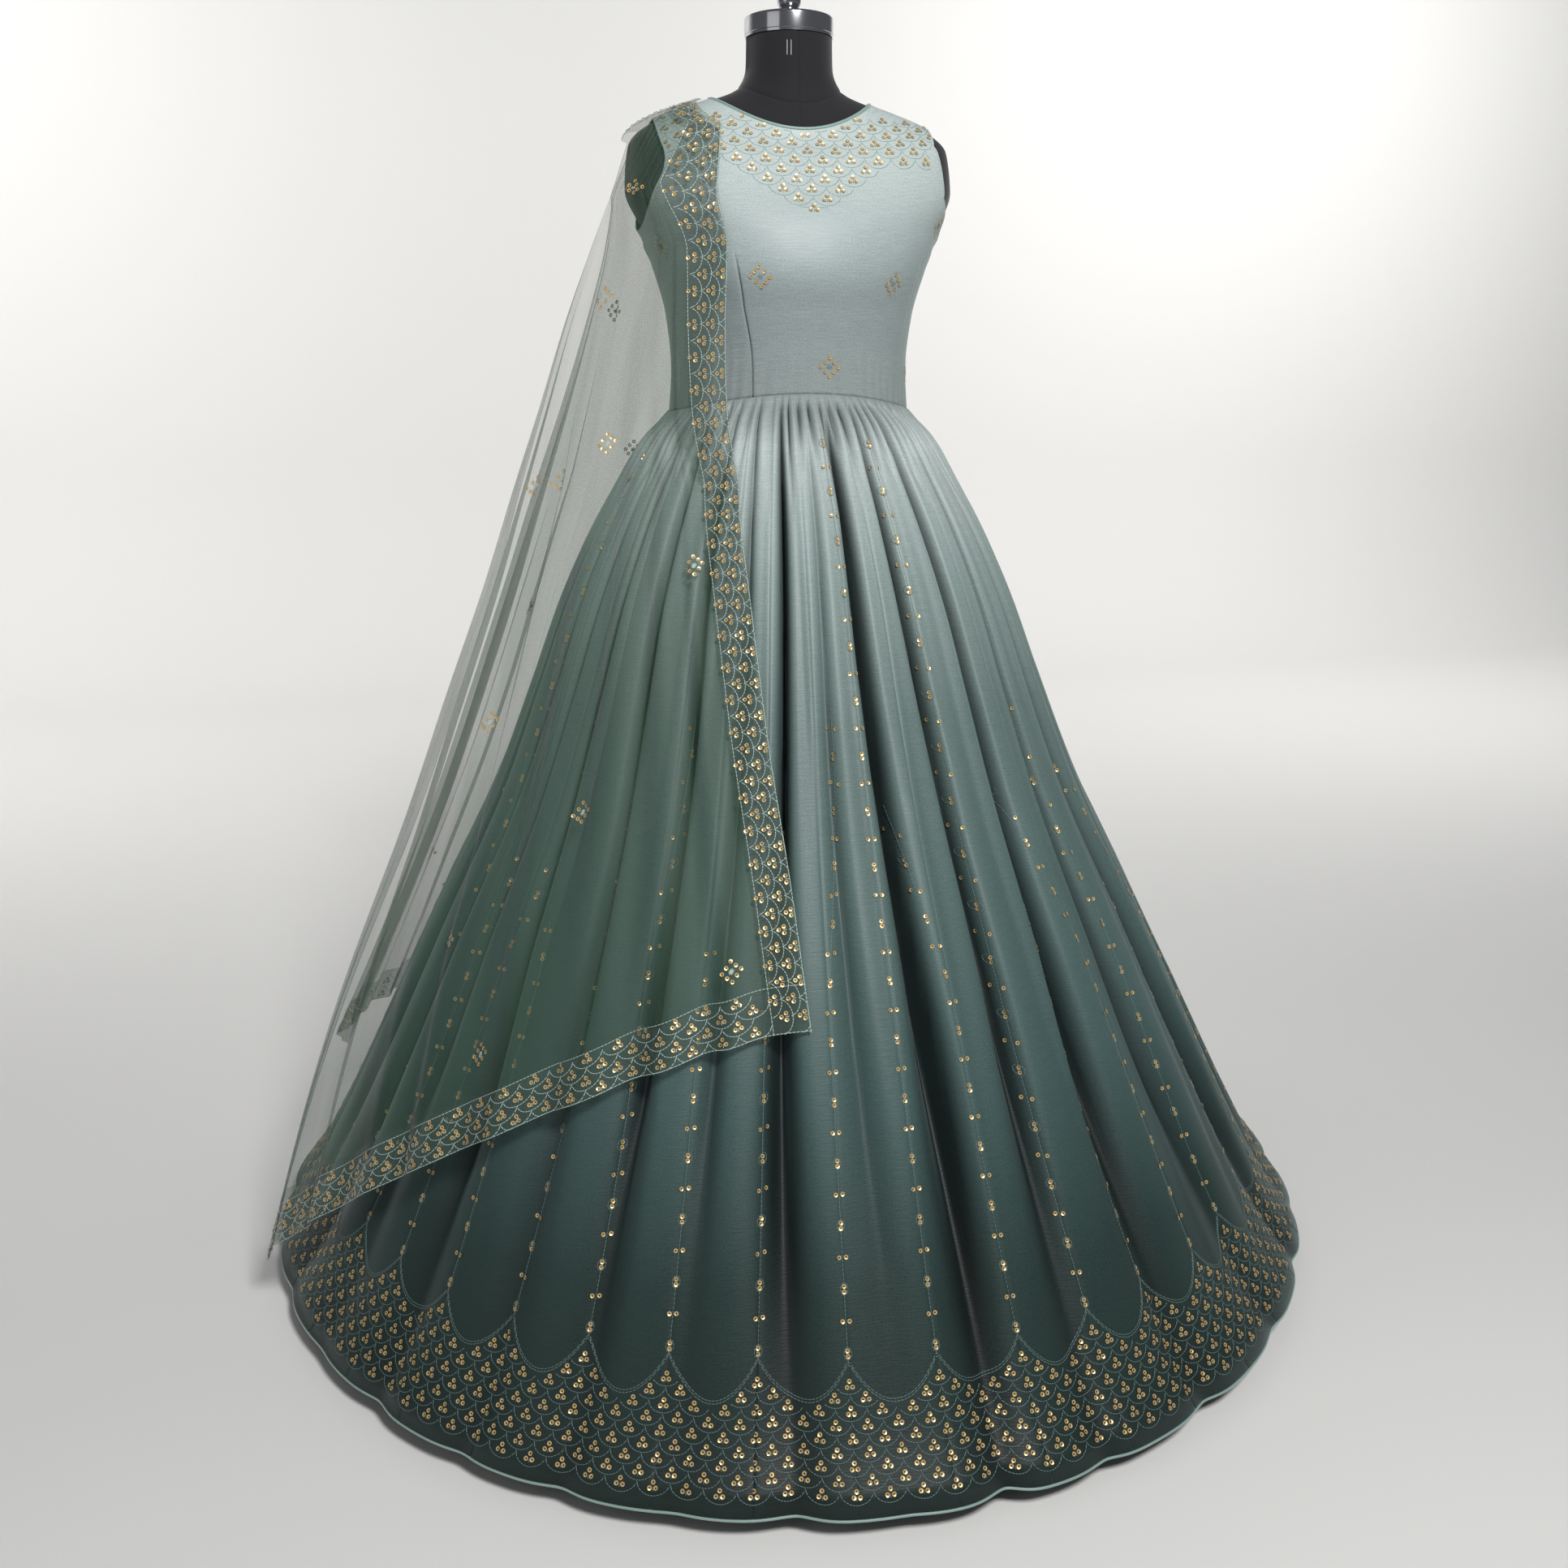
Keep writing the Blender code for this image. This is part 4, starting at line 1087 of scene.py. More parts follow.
def bodice_shell(node, edges, columns, darted=False):
    """A bodice panel. edges(place) gives its first and last angle at each place."""
    places = np.concatenate([np.linspace(BODICE_FOOT, 7.0, 44), np.linspace(7.05, BODICE_TOP, 56)])
    first, last = edges(places)
    share = np.linspace(0, 1, columns)
    angle = first[:, None] + (last - first)[:, None] * share[None, :]
    if darted:
        # columns follow the darts and lie closer beside them
        beside = 0.004 * np.array([-3, -2, -1, -0.5, 0, 0.5, 1, 2, 3])
        share = np.sort(np.concatenate([share, DART_SHARES[0] + beside, DART_SHARES[1] + beside]))
        darts = [np.interp(places, DART_PLACES, line) for line in (DART_RIGHT, DART_LEFT)]
        knots = zip(first, *darts, last)
        angle = np.array([np.interp(share, [0.0, *DART_SHARES, 1.0], row) for row in knots])
    place = np.broadcast_to(places[:, None], angle.shape)
    outer = bodice_point(angle, place)
    inner = bodice_point(angle, place, -GOWN_WALL)
    # painted shade along the darts, darker where the groove lies deeper
    hollows = np.clip(dart_groove(angle, place) / DART_DEPTH, 0.0, 1.0) * DART_PAINTED_SHADE
    piece = shell(f"{node}_cloth", outer, inner, LOOKS["gown"], [node], hollows)
    declare_sheet(outer)


def declare_sheet(points):
    """Measures the size of flat cloth the grid of points was cut from, along it, but does nothing with the
    sizes.
    """
    widest = float(np.linalg.norm(np.diff(points, axis=1), axis=-1).sum(axis=1).max())
    longest = float(np.linalg.norm(np.diff(points, axis=0), axis=-1).sum(axis=0).max())


def make_bodice():
    def front(place):
        edge = math.pi / 2 - armhole_opening(place) - BODICE_GAP
        return -edge, edge

    def back(side):
        def edges(place):
            outer = math.pi / 2 + armhole_opening(place) + BODICE_GAP
            centre = np.full_like(place, math.pi - BODICE_GAP)
            return (outer, centre) if side > 0 else (-centre, -outer)

        return edges

    bodice_shell("bodice_front", front, 130, darted=True)
    bodice_shell("bodice_back_left", back(1), 60)
    bodice_shell("bodice_back_right", back(-1), 60)


def make_neck_binding():
    angle = 2 * math.pi * np.arange(240) / 240
    place = np.full_like(angle, BODICE_TOP)
    middle = FIGURE_CURVES["ease"](place) + GOWN_WALL / 2
    edge = figure_point(angle, place, middle)
    up = unit(figure_point(angle, place + 0.02, middle) - edge)
    centres = edge + up * (PIPING_RADIUS + SEAM_GAP + 0.0002)
    radius = PIPING_RADIUS * 1.15
    tube("neck_binding_roll", centres, radius, 10, LOOKS["piping"], ["neck_binding"])


# The skirt

class Table:
    """Looks up tables over two lists of values, between their four nearest entries."""

    def __init__(self, firsts, seconds):
        self.firsts = firsts
        self.seconds = seconds

    def cell(self, values, wanted):
        wanted = np.nan_to_num(np.clip(wanted, values[0], values[-1]), nan=values[0])
        index = np.clip(np.searchsorted(values, wanted, side="right") - 1, 0, len(values) - 2)
        return index, ((wanted - values[index]) / (values[index + 1] - values[index]))[..., None]

    def mixed(self, table, first, second):
        column, across = self.cell(self.firsts, first)
        row, up = self.cell(self.seconds, second)
        low = table[row, column] * (1 - across) + table[row, column + 1] * across
        high = table[row + 1, column] * (1 - across) + table[row + 1, column + 1] * across
        return low * (1 - up) + high * up


class Cloth(Table):
    """A grid of points of a surface, which stitches and sequins are laid on."""

    def __init__(self, firsts, seconds, points, facing):
        super().__init__(firsts, seconds)
        self.points = points
        self.across = np.gradient(points, firsts, axis=1)
        self.up = np.gradient(points, seconds, axis=0)
        self.normals = facing * unit(np.cross(self.across, self.up))

    def at(self, first, second):
        """The points there and their normals."""
        first, second = np.broadcast_arrays(np.asarray(first, float), np.asarray(second, float))
        return self.mixed(self.points, first, second), unit(self.mixed(self.normals, first, second))

    def near(self, first, second, aside, up):
        """Points at small distances from a place, and their normals."""
        here = np.array([first]), np.array([second])
        per_first = np.linalg.norm(self.mixed(self.across, *here), axis=-1)
        per_second = np.linalg.norm(self.mixed(self.up, *here), axis=-1)
        return self.at(first + aside / per_first, second + up / per_second)


# Columns lie closer at a kali's seams, and rows lie closer near the waist
KALI_SHARES = np.concatenate([[0.0, 0.012, 0.028], np.linspace(0.075, 0.925, 16), [0.972, 0.988]])
SKIRT_FALLS = np.concatenate(
    [np.linspace(0, 0.1, 20), np.linspace(0.1, 0.42, 31)[1:], np.linspace(0.42, 1, 36)[1:]]
)
SEAM_DEPTH = 0.0007
SEAM_WIDTH = 0.0014
HEM_PIPING_STEPS = 1008


def skirt_faces(angle, fall):
    """The skirt's outer and inner face, with a fine groove at each kali's seam."""
    half_width = SKIRT_CURVES["half_width"](fall)
    from_seam = np.remainder(angle - FIRST_SEAM + KALI_TURN / 2, KALI_TURN) - KALI_TURN / 2
    away = from_seam * half_width / SEAM_WIDTH
    groove = SEAM_DEPTH * np.exp(-away * away)
    normal = skirt_normal(angle, fall)
    level = unit(stacked(normal[..., 0], normal[..., 1], 0.0))
    normal = np.where(fall[..., None] == 0, level, normal)
    middle = skirt_base(angle, fall) - normal * groove[..., None]
    return middle + normal * GOWN_WALL / 2, middle - normal * GOWN_WALL / 2


SKIRT_SHARES = np.append((np.arange(KALI_COUNT)[:, None] + KALI_SHARES).ravel(), KALI_COUNT)
SKIRT_ANGLES = FIRST_SEAM + SKIRT_SHARES * KALI_TURN
SKIRT_GRID = np.meshgrid(SKIRT_ANGLES, SKIRT_FALLS)
SKIRT_OUTER, SKIRT_INNER = skirt_faces(*SKIRT_GRID)
# How dark the painted fold shade is at each point of the skirt
_, SKIRT_PAINTED_SHADE = skirt_drops(*SKIRT_GRID, SKIRT_CURVES["half_width"](SKIRT_FALLS)[:, None])
SKIRT_CLOTH = Cloth(SKIRT_ANGLES, SKIRT_FALLS, SKIRT_OUTER, -1)


def make_skirt():
    columns = KALIS_PER_NODE * len(KALI_SHARES)
    for node in range(KALI_COUNT // KALIS_PER_NODE):
        own = slice(node * columns, (node + 1) * columns + 1)
        outer, inner, hollows = (grid[::-1, own] for grid in (SKIRT_OUTER, SKIRT_INNER, SKIRT_PAINTED_SHADE))
        name = f"skirt_kalis_{node + 1:02d}"
        piece = shell(f"{name}_cloth", outer, inner, LOOKS["gown"], [name], hollows)
        declare_sheet(outer)


def make_hem_piping():
    angles = FIRST_SEAM + 2 * math.pi * np.arange(HEM_PIPING_STEPS) / HEM_PIPING_STEPS
    edge = skirt_base(angles, np.ones_like(angles))
    centres = edge - np.array([0.0, 0.0, PIPING_RADIUS + 2.5 * SEAM_GAP])
    tube("hem_piping_roll", centres, PIPING_RADIUS, 8, LOOKS["piping"], ["hem_piping"])


# The drape: single sheets, since light goes through the net

END_SHARE = 0.042
DRAPE_BORDER_COLUMNS = 9
DRAPE_END_ROWS = 7
DRAPE_SHARES = np.concatenate(
    [np.linspace(0.0, BORDER_SHARE, DRAPE_BORDER_COLUMNS), np.linspace(BORDER_SHARE, 1.0, 150)[1:]]
)
back_runs = np.concatenate(
    [
        np.linspace(0.0, OVER_SHOULDER, 25),
        np.linspace(OVER_SHOULDER, 1 - END_SHARE, 75)[1:],
        np.linspace(1 - END_SHARE, 1.0, DRAPE_END_ROWS)[1:],
    ]
)
DRAPE_RUNS = np.concatenate([-back_runs[:0:-1], back_runs])
DRAPE_CLOTH = Cloth(DRAPE_SHARES, DRAPE_RUNS, drape_base(*np.meshgrid(DRAPE_SHARES, DRAPE_RUNS)), -1)


def drape_sheet(node, rows, columns, look):
    points = DRAPE_CLOTH.points[rows, columns]
    faces = [grid_faces(*points.shape[:2], flip=True)]
    piece = add_piece(f"{node}_sheet", points, faces, LOOKS[look], [node], cloth_measures(points))
    declare_sheet(points)


def make_drape():
    whole = slice(None)
    border = slice(0, DRAPE_BORDER_COLUMNS)
    net = slice(DRAPE_BORDER_COLUMNS - 1, None)
    middle = slice(DRAPE_END_ROWS - 1, len(DRAPE_RUNS) - DRAPE_END_ROWS + 1)
    front = slice(0, DRAPE_END_ROWS)
    back = slice(len(DRAPE_RUNS) - DRAPE_END_ROWS, None)
    drape_sheet("drape_net", middle, net, "net")
    drape_sheet("drape_border_side", middle, border, "border")
    drape_sheet("drape_border_front", front, whole, "border")
    drape_sheet("drape_border_back", back, whole, "border")


make_torso()
make_stand()
make_neck_cap()
make_bodice()
make_neck_binding()
make_skirt()
make_hem_piping()
make_drape()


# Embroidery. A place function takes metres along an edge and away from it, and gives points and normals.

BODICE_ANGLES = np.linspace(-1.57, 1.57, 240)
BODICE_PLACES = np.linspace(BODICE_FOOT, BODICE_TOP, 110)
BODICE_GRID = bodice_point(*np.meshgrid(BODICE_ANGLES, BODICE_PLACES))
BODICE_CLOTH = Cloth(BODICE_ANGLES, BODICE_PLACES, BODICE_GRID, 1)


def running_length(points):
    return np.concatenate([[0.0], np.cumsum(np.linalg.norm(np.diff(points, axis=0), axis=-1))])


# How long the skirt's slant is down to each fall
SLANT_FALLS = np.linspace(0, 1, 201)
SLANT_LENGTHS = running_length(stacked(SKIRT_CURVES["half_width"](SLANT_FALLS), SLANT_FALLS * SKIRT_HEIGHT))
SLANT = SLANT_LENGTHS[-1]


def skirt_place(angle, from_hem, aside=0.0):
    """A place on the skirt at a distance up from the hem, and a distance aside from an angle."""
    fall = np.interp(SLANT - from_hem, SLANT_LENGTHS, SLANT_FALLS)
    turned_angle = angle + aside / SKIRT_CURVES["half_width"](fall)
    return SKIRT_CLOTH.at(FIRST_SEAM + np.remainder(turned_angle - FIRST_SEAM, 2 * math.pi), fall)


def hem_place(along, up):
    return skirt_place(FIRST_SEAM + along * KALI_TURN / (3 * SCALE_WIDTH), up)


def arch(along):
    """How far the hem's embroidery reaches up: to a peak at each seam and a low between two."""
    share = np.remainder(along / (3 * SCALE_WIDTH), 1.0)
    return ARCH_LOW + (ARCH_PEAK - ARCH_LOW) * (2 * share - 1) ** 2


SIDE_LENGTHS = running_length(DRAPE_CLOTH.at(np.full_like(DRAPE_RUNS, BORDER_SHARE / 2), DRAPE_RUNS)[0])


def drape_side_place(along, up):
    """Along the drape's inner edge from its front end, and in from that edge."""
    return DRAPE_CLOTH.at(up * BORDER_SHARE / BORDER_WIDTH, np.interp(along, SIDE_LENGTHS, DRAPE_RUNS))


BEFORE_END_RUN = 0.96
END_RUN = 0.999


def drape_end_place(end):
    """Along one end of the drape from its inner edge, and in from that end. Also gives the end's length."""
    before, last = (DRAPE_CLOTH.at(DRAPE_SHARES, run * end)[0] for run in (BEFORE_END_RUN, END_RUN))
    lengths = running_length(last)
    per_run = np.linalg.norm(last - before, axis=-1) / (END_RUN - BEFORE_END_RUN)

    def place(along, up):
        share = np.interp(along, lengths, DRAPE_SHARES)
        return DRAPE_CLOTH.at(share, end * (1 - up / np.interp(share, DRAPE_SHARES, per_run)))

    return place, lengths[-1]


# The yoke's columns run straight up the front from the level of its point, and rows are counted up them
YOKE_POINT_Z = 1.316
YOKE_CENTRE = 0.003
YOKE_PITCH = 0.0338
YOKE_ROW = 0.0124
YOKE_ROWS = 11
YOKE_FOOT_PLACE = 5.5
YOKE_LOWEST_ROWS = [0, 1, 2, 3, 4, 5, 6, 5, 6, 5]
YOKE_COLUMNS = np.linspace(-0.19, 0.19, 77)
YOKE_STEPS = np.linspace(-0.03, 0.17, 101)


def yoke_tables():
    """The angle and place on the bodice at each yoke column and step up it."""
    level = RING_INDEX["bust"] + 1.45
    ring_angles = np.linspace(-1.45, 1.45, 201)
    ring = figure_base(ring_angles, np.full(201, level))
    ring_lengths = running_length(ring)
    ring_lengths = ring_lengths - ring_lengths[100]
    places = np.linspace(YOKE_FOOT_PLACE, BODICE_TOP, 261)
    sizes = {name: curve(places) for name, curve in FIGURE_CURVES.items()}
    angles_up = []
    places_up = []
    for column in YOKE_COLUMNS:
        x = np.interp(column, ring_lengths, ring[:, 0])
        share = np.clip(abs(x) / sizes["half_width"], 0.0, 1.0)
        angle = np.sign(x) * np.arcsin(share ** (sizes["power"] / 2))
        points = figure_base(angle, places)
        start = np.argmax(points[:, 2] > YOKE_POINT_Z)
        lengths = running_length(points)
        lengths = lengths - lengths[start]
        on_cloth = share < 0.995
        angles_up.append(np.interp(YOKE_STEPS, lengths[on_cloth], angle[on_cloth], right=np.nan))
        places_up.append(np.interp(YOKE_STEPS, lengths[on_cloth], places[on_cloth], right=np.nan))
    return stacked(np.array(angles_up).T, np.array(places_up).T)


YOKE_MAP = yoke_tables()
YOKE_TABLE = Table(YOKE_COLUMNS, YOKE_STEPS)


def yoke_place(along, up):
    """A place on the yoke, or not a number where the armhole or the neckline cuts it away."""
    angle, place = np.moveaxis(YOKE_TABLE.mixed(YOKE_MAP, along, up), -1, 0)
    cloth_end = math.pi / 2 - armhole_opening(place) - 0.03
    on_cloth = (np.abs(angle) < cloth_end) & (place < len(FIGURE) - 4.15)
    points, normals = BODICE_CLOTH.at(angle, place)
    return np.where(on_cloth[..., None], points, np.nan), normals


# A scale's three sequins and its tick, beside and above its middle
GROUP = [(0.0, 0.0034), (-0.0036, -0.0021), (0.0036, -0.0021)]
SCALE_STITCHES = 11
TICK = (-0.0012, -0.0052)
SCALE_RISE = 0.0024
EDGE_STITCH = 0.0009


class Embroidery:
    """Sequins and stitches, gathered from one part of the gown and made as two joined meshes."""

    def __init__(self, name, thread):
        self.name = name
        self.thread = thread
        self.sequins = []
        self.stitches = []

    def sew(self, place, firsts, seconds):
        """Sequins at places."""
        points, normals = place(np.asarray(firsts, float).ravel(), np.asarray(seconds, float).ravel())
        self.sequins.append((points, normals))

    def stitch(self, place, starts, ends):
        """A stitch from each start to each end, which are pairs of place values."""
        from_points, normals = place(*(np.asarray(value, float).ravel() for value in starts))
        to_points, _ = place(*(np.asarray(value, float).ravel() for value in ends))
        self.stitches.append((from_points, to_points, normals))

    def line(self, place, firsts, seconds, length):
        """Stitches along a line of places of a known length."""
        count = max(int(length / (STITCH_LENGTH + STITCH_GAP)), 1)
        steps = np.linspace(0, 1, len(firsts))
        from_share = np.arange(count) / count
        to_share = from_share + STITCH_LENGTH / (STITCH_LENGTH + STITCH_GAP) / count
        starts = [np.interp(from_share, steps, values) for values in (firsts, seconds)]
        ends = [np.interp(to_share, steps, values) for values in (firsts, seconds)]
        self.stitch(place, starts, ends)

    def scales(self, place, along, up, width, limit=None):
        """Scales round the given middles: an arc, a tick and three sequins each."""
        for aside, rise in GROUP:
            self.sew(place, along + aside, up + rise)
        self.stitch(place, (along, up + TICK[0]), (along, up + TICK[1]))
        edges = np.linspace(-1, 1, SCALE_STITCHES + 1)
        stitch_share = STITCH_LENGTH / (STITCH_LENGTH + STITCH_GAP)
        for low, high in zip(edges[:-1], edges[1:]):
            high = low + (high - low) * stitch_share
            ends = []
            for share in (low, high):
                drop = SCALE_DEPTH * (1 - share * share) ** 0.6 - SCALE_RISE
                ends.append((along + share * width / 2, np.maximum(up - drop, EDGE_STITCH)))
            kept = np.ones(len(along), bool)
            if limit is not None:
                kept = (ends[0][1] < limit(ends[0][0]) - 0.003) & (ends[1][1] < limit(ends[1][0]) - 0.003)
            self.stitch(place, [value[kept] for value in ends[0]], [value[kept] for value in ends[1]])

    def make(self):
        centres, normals = (np.concatenate(rows) for rows in zip(*self.sequins))
        good = np.isfinite(centres).all(axis=-1) & np.isfinite(normals).all(axis=-1)
        make_sequins(f"{self.name}_sequins", centres[good], normals[good])
        starts, ends, normals = (np.concatenate(rows) for rows in zip(*self.stitches))
        good = np.isfinite(starts).all(axis=-1) & np.isfinite(ends).all(axis=-1)
        make_stitches(f"{self.name}_stitches", starts[good], ends[good], normals[good], LOOKS[self.thread])


SEQUIN_SIDES = 10
SEQUIN_TILT = 0.14
SEQUIN_RINGS = ((SEQUIN_HOLE, 0.00070), (SEQUIN_RADIUS, 0.00100))
tilts = np.random.default_rng(11)


def make_sequins(name, centres, normals):
    """Cupped rings that each lean a little their own way."""
    lean = tilts.uniform(-SEQUIN_TILT, SEQUIN_TILT, centres.shape)
    normals = unit(normals + lean)
    aside = unit(np.cross(normals, np.array([0.31, 0.27, 0.91])))
    up = np.cross(normals, aside)
    around = circles(aside, up, 2 * math.pi * np.arange(SEQUIN_SIDES) / SEQUIN_SIDES)
    rings = []
    for radius, height in SEQUIN_RINGS:
        rings.append(centres[:, None] + radius * around + height * normals[:, None])
    points = np.stack(rings, axis=1)
    one = grid_faces(2, SEQUIN_SIDES, closed=True)
    starts = np.arange(len(centres)) * 2 * SEQUIN_SIDES
    faces = (starts[:, None, None] + one[None]).reshape(-1, 4)
    add_piece(name, points, [faces], LOOKS["sequin"], flat=True)


def make_stitches(name, starts, ends, normals, look):
    """Short raised threads with a roof's section."""
    side = unit(np.cross(normals, ends - starts)) * STITCH_WIDTH / 2
    ridge = normals * STITCH_RISE
    base = normals * STITCH_LIFT
    offsets = (base - side, ridge, base + side)
    points = np.stack([end + offset for end in (starts, ends) for offset in offsets], axis=1)
    one = np.array([[0, 3, 4, 1], [1, 4, 5, 2]])
    faces = (np.arange(len(starts))[:, None, None] * 6 + one[None]).reshape(-1, 4)
    add_piece(name, points, [faces], look, flat=True)


def lattice(work, place, length, rows, first_row, step, start=0.0, end=0.0):
    """Rows of scales along an edge, each row half a scale on from the one below."""
    count = int((length - start - end) / SCALE_WIDTH)
    pitch = (length - start - end) / count
    for row in range(rows):
        along = start + (np.arange(count + row % 2) + (0.0 if row % 2 else 0.5)) * pitch
        inside = (along > start + 0.2 * pitch) & (along < length - end - 0.2 * pitch)
        along = along[inside]
        work.scales(place, along, np.full(len(along), first_row + row * step), pitch)


def embroider_hem():
    work = Embroidery("hem", "hem_thread")
    for row in range(HEM_ROWS):
        up = HEM_FIRST_ROW + row * SCALE_ROW
        along = (np.arange(3 * KALI_COUNT) + 0.5 * (row % 2)) * SCALE_WIDTH
        along = along[up + 0.004 < arch(along)]
        work.scales(hem_place, along, np.full(len(along), up), SCALE_WIDTH, arch)
    around_hem = np.linspace(0, 3 * KALI_COUNT * SCALE_WIDTH, 12 * KALI_COUNT + 1)
    for apart in (0.0, 0.0028):
        work.line(hem_place, around_hem, arch(around_hem) + apart, around_hem[-1])
    work.make()


# Higher up, most seams turn in to the nearest fold's valley, and their sequins end sooner. The shown ones go
# straight up to the waist.
SHOWN_SEAMS = (2, 4, 11, 19, 27, 35)
TURNED_FROM = 0.62
TURNED_BY = 0.36
SEAM_TOP_GAP = 0.05
SHORT_SHARE = 0.58
SHORT_VARIES = 0.12
# The pairs of sequins, and the thread oval round those that stand one above the other
PAIR_FIRST = 0.009
PAIR_ASIDE = 0.0037
PAIR_RISE = 0.00265
OVAL_ASIDE = 0.0040
OVAL_RISE = 0.0060
OVAL_STITCH_SHARE = 0.78


def embroider_seams():
    """Sequins in twos up each seam, by turns one above the other in a thread oval and side by side."""
    work = Embroidery("seams", "hem_thread")
    longest = SLANT - SEAM_TOP_GAP
    levels = np.arange(ARCH_PEAK + PAIR_FIRST, longest, PAIR_SPACING)
    turns = 2 * math.pi * np.arange(11) / 10
    for seam in range(KALI_COUNT):
        seam_angle = FIRST_SEAM + seam * KALI_TURN
        off_valley = wrapped(FOLD_ANGLES - seam_angle)
        off_valley = off_valley[np.argmin(np.abs(off_valley))]
        shown = seam in SHOWN_SEAMS
        highest = longest if shown else (SHORT_SHARE + SHORT_VARIES * math.sin(2.1 * seam)) * SLANT

        def place(aside, up, seam_angle=seam_angle, off_valley=0.0 if shown else off_valley):
            fall = np.interp(SLANT - up, SLANT_LENGTHS, SLANT_FALLS)
            turned_in = off_valley * smooth((TURNED_FROM - fall) / (TURNED_FROM - TURNED_BY))
            return skirt_place(seam_angle + turned_in, up, aside)

        own = levels[levels < highest]
        above, beside = own[::2], own[1::2]
        rise = np.linspace(ARCH_PEAK, highest, 40)
        work.line(place, np.zeros(40), rise, highest - ARCH_PEAK)
        for sign in (-1, 1):
            work.sew(place, np.zeros(len(above)), above + sign * PAIR_RISE)
            work.sew(place, np.full(len(beside), sign * PAIR_ASIDE), beside)
        for first, second in zip(turns[:-1], turns[1:]):
            second = first + (second - first) * OVAL_STITCH_SHARE
            ends = []
            for turn in (first, second):
                aside = np.full(len(above), OVAL_ASIDE * math.cos(turn))
                ends.append((aside, above + OVAL_RISE * math.sin(turn)))
            work.stitch(place, *ends)
    work.make()


DIAMOND = [(-2, 0), (-1, 1), (0, 2), (1, 1), (2, 0), (1, -1), (0, -2), (-1, -1)]
DIAMOND_STEP = 0.0055
KNOT_RADIUS = 0.0034


def diamond(work, place):
    """Eight sequins round a small knot of thread."""
    work.sew(place, *(DIAMOND_STEP * np.array(DIAMOND, float).T))
    for turn in np.radians(np.arange(0, 180, 30)):
        aside, up = KNOT_RADIUS * math.cos(turn), KNOT_RADIUS * math.sin(turn)
        work.stitch(place, ([-aside], [-up]), ([aside], [up]))


def sew_diamonds(work, cloth, spots):
    for spot in spots:

        def place(aside, up, spot=spot):
            return cloth.near(spot.first, spot.second, aside, up)

        diamond(work, place)


# Where diamonds are sewn: angles and places on the bodice, then shares and runs on the drape
Spot = namedtuple("Spot", "first second")
BODICE_DIAMONDS = [
    Spot(-0.349, 5.9),
    Spot(0.646, 5.75),
    Spot(0.1745, 3.65),
    Spot(1.10, 7.2),
    Spot(-1.20, 6.55),
    Spot(1.344, 3.85),
]
DRAPE_DIAMONDS = [
    Spot(0.10, -0.505),
    Spot(0.40, -0.721),
    Spot(0.10, -0.928),
    Spot(0.525, -0.920),
    Spot(0.60, -0.178),
    Spot(0.65, -0.353),
    Spot(0.40, -0.074),
    Spot(0.775, -0.345),
    Spot(0.45, -0.337),
    Spot(0.675, -0.585),
    Spot(0.625, -0.800),
    Spot(0.55, 0.18),
    Spot(0.30, 0.32),
    Spot(0.62, 0.50),
    Spot(0.25, 0.66),
    Spot(0.70, 0.80),
]


def embroider_bodice():
    work = Embroidery("bodice", "yoke_thread")
    half = YOKE_PITCH / 2
    for column in range(-11, 12):
        lowest = YOKE_LOWEST_ROWS[min(abs(column), len(YOKE_LOWEST_ROWS) - 1)]
        rows = np.array([row for row in range(lowest, YOKE_ROWS) if (row + column) % 2 == 0], float)
        along = np.full(len(rows), YOKE_CENTRE + column * half)
        work.scales(yoke_place, along, rows * YOKE_ROW, YOKE_PITCH)
    sew_diamonds(work, BODICE_CLOTH, BODICE_DIAMONDS)
    work.make()


def embroider_drape():
    work = Embroidery("drape", "drape_thread")
    side_length = SIDE_LENGTHS[-1]
    lattice(work, drape_side_place, side_length, rows=4, first_row=0.0070, step=0.0100)
    edge = np.linspace(0, side_length, 200)
    for up in (0.0010, BORDER_WIDTH - 0.0008):
        work.line(drape_side_place, edge, np.full(200, up), side_length)
    for end in (-1, 1):
        place, length = drape_end_place(end)
        lattice(work, place, length, rows=4, first_row=0.0085, step=0.0120, start=BORDER_WIDTH, end=0.004)
        edge = np.linspace(0, length, 200)
        for up in (0.0010, 0.0510):
            work.line(place, edge, np.full(200, up), length)
    sew_diamonds(work, DRAPE_CLOTH, DRAPE_DIAMONDS)
    work.make()


MARK_ANGLES = math.radians(-12) + np.array([-0.045, 0.045])
MARK_FOOT = 14.45
MARK_MIDDLE = 14.6
MARK_TOP = 14.78


def mark_neck():
    """Two pale stitches in front on the form's neck."""
    low, high = (figure_point(MARK_ANGLES, np.full(2, place), 0.0) for place in (MARK_FOOT, MARK_TOP))
    normals = surface_normal(figure_base, MARK_ANGLES, np.full(2, MARK_MIDDLE))
    make_stitches("form_size_stitches", low, high, normals, LOOKS["seam"])


embroider_hem()
embroider_seams()
embroider_bodice()
embroider_drape()
mark_neck()


# The room, the lights and the camera

ROOM_FRONT = 4.4
ROOM_BACK = 4.4
ROOM_BEND = 0.8
ROOM_SIDE = 7.5
ROOM_HEIGHT = 4.5


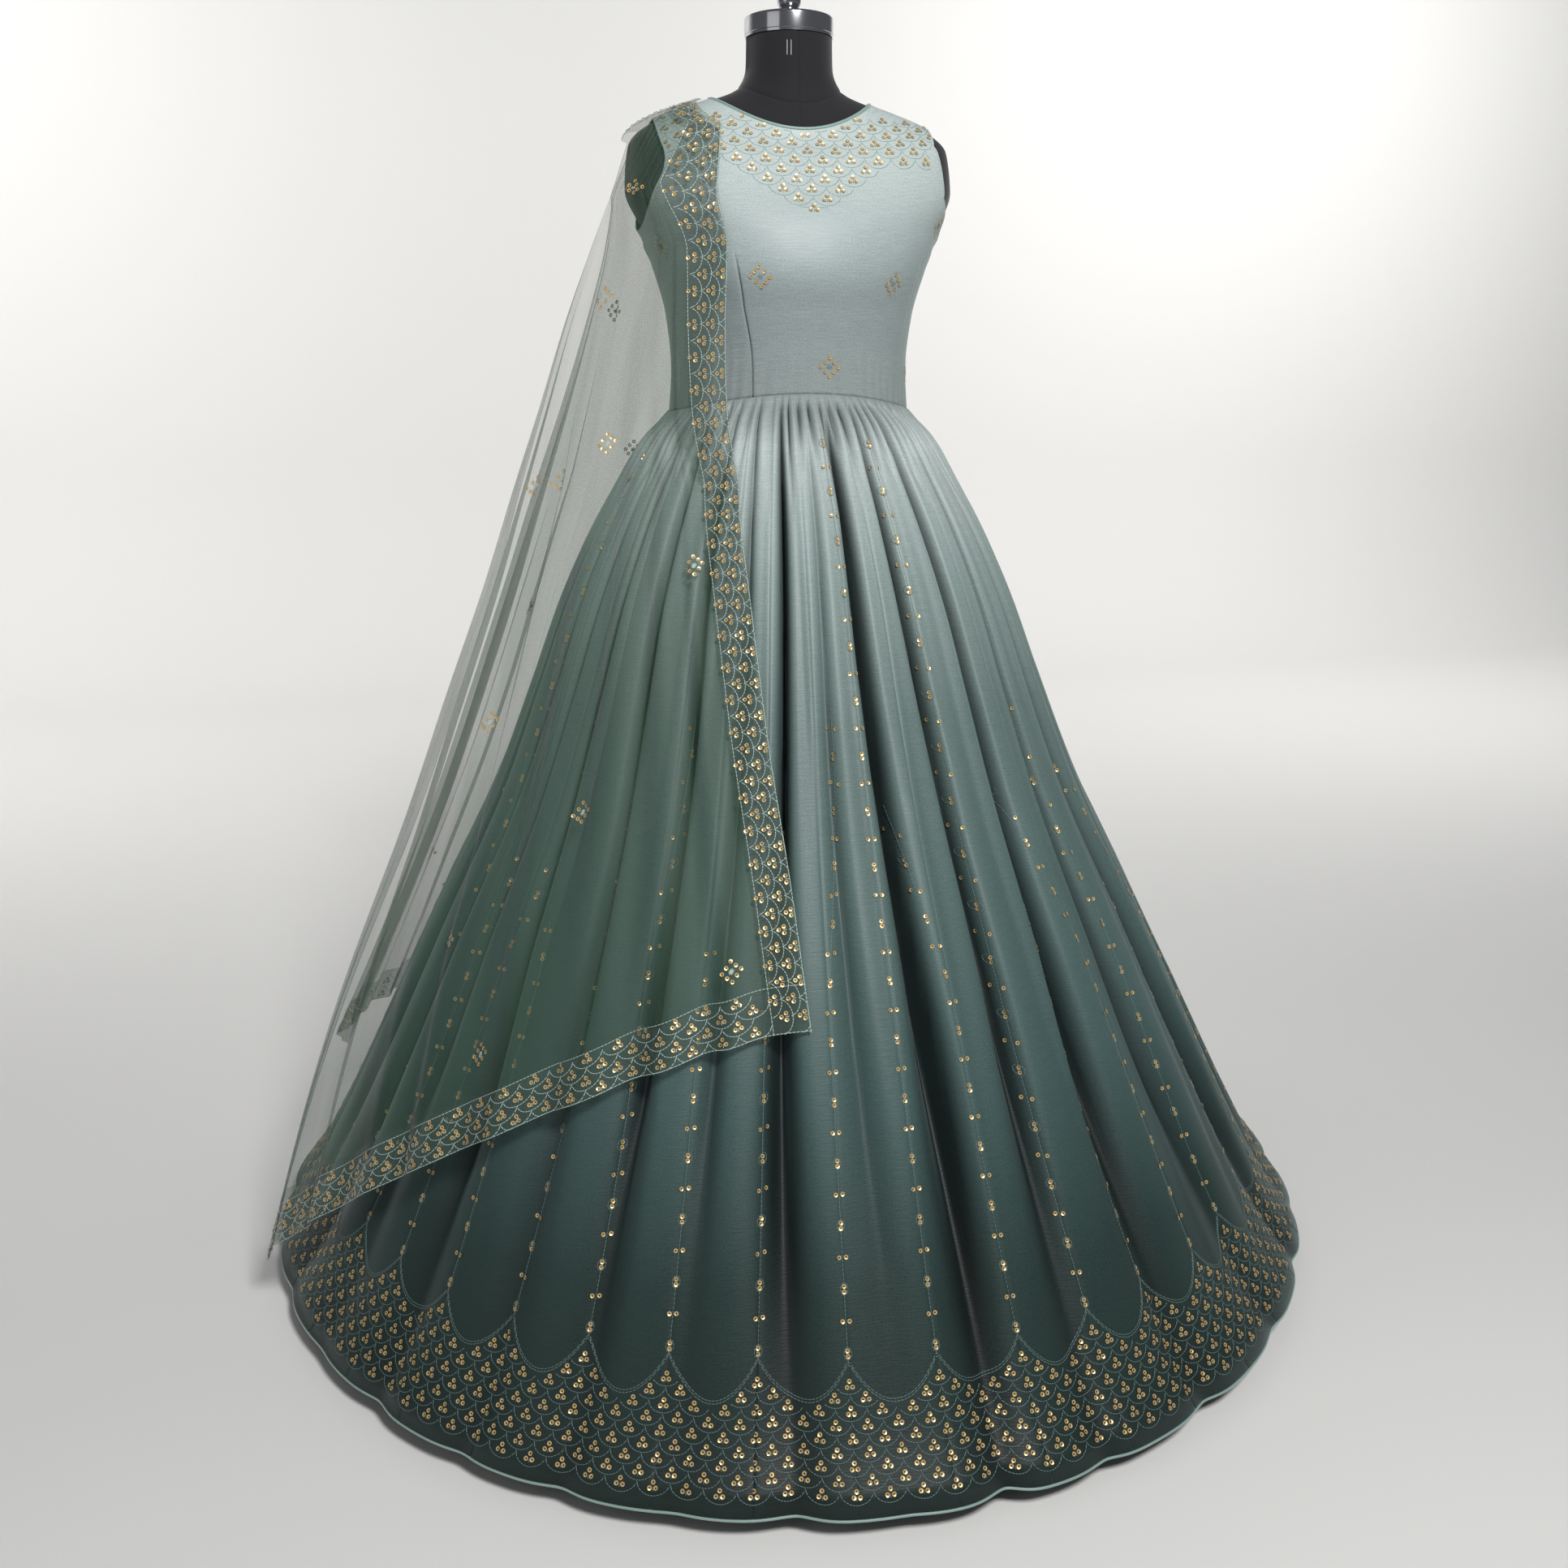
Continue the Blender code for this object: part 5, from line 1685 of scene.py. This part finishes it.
def make_room():
    """A floor that rounds up into a wall, both pale."""
    profile = [(-ROOM_FRONT, 0.0), (ROOM_BACK - ROOM_BEND, 0.0)]
    for turn in np.radians(np.arange(10, 91, 10)):
        along = ROOM_BACK - ROOM_BEND * (1 - math.sin(turn))
        profile.append((along, ROOM_BEND * (1 - math.cos(turn))))
    profile.append((ROOM_BACK, ROOM_HEIGHT))
    ys, zs = np.array(profile).T
    points = stacked(np.array([-ROOM_SIDE, ROOM_SIDE])[None, :], ys[:, None], zs[:, None])
    mesh = bpy.data.meshes.new("room")
    mesh.from_pydata(points.reshape(-1, 3).tolist(), [], grid_faces(len(ys), 2).tolist())
    mesh.materials.append(plain_look("room", (226, 225, 222), Roughness=0.9))
    for face in mesh.polygons:
        face.use_smooth = True
    room = bpy.data.objects.new("room", mesh)
    bpy.context.scene.collection.objects.link(room)


def add_light(name, place, aim, size, power):
    lamp = bpy.data.lights.new(name, "AREA")
    lamp.shape = "RECTANGLE"
    lamp.size, lamp.size_y = size
    lamp.energy = power
    light = bpy.data.objects.new(name, lamp)
    light.location = place
    light.rotation_euler = (Vector(aim) - Vector(place)).to_track_quat("-Z", "Y").to_euler()
    bpy.context.scene.collection.objects.link(light)


def make_camera():
    camera = bpy.data.objects.new("camera", bpy.data.cameras.new("camera"))
    across = (math.cos(CAMERA_AZIMUTH), math.sin(CAMERA_AZIMUTH))
    camera.location = (
        CAMERA_DISTANCE * math.sin(CAMERA_AZIMUTH) + CAMERA_SIDE * across[0],
        -CAMERA_DISTANCE * math.cos(CAMERA_AZIMUTH) + CAMERA_SIDE * across[1],
        CAMERA_HEIGHT,
    )
    camera.rotation_euler = (math.pi / 2 - CAMERA_PITCH, 0.0, CAMERA_AZIMUTH)
    camera.data.lens = CAMERA_LENS
    camera.data.sensor_width = 36.0
    bpy.context.scene.collection.objects.link(camera)
    bpy.context.scene.camera = camera


make_room()
add_light("key", (0.35, -2.5, 2.9), (0.0, 0.0, 0.75), (0.6, 0.6), 100)
add_light("fill", (-2.4, -1.8, 1.6), (0.0, 0.0, 0.7), (1.6, 2.0), 6)
add_light("wall_left", (-3.0, 1.8, 3.0), (-2.4, 4.4, 1.6), (2.4, 1.6), 92)
add_light("wall_right", (3.0, 1.8, 3.0), (2.4, 4.4, 1.6), (2.4, 1.6), 92)
world = bpy.data.worlds.new("room_light")
world.use_nodes = True
background = world.node_tree.nodes["Background"].inputs
background["Color"].default_value = (0.90, 0.93, 1.0, 1.0)
background["Strength"].default_value = 0.14
bpy.context.scene.world = world
bpy.context.scene.view_settings.view_transform = "Standard"
make_camera()
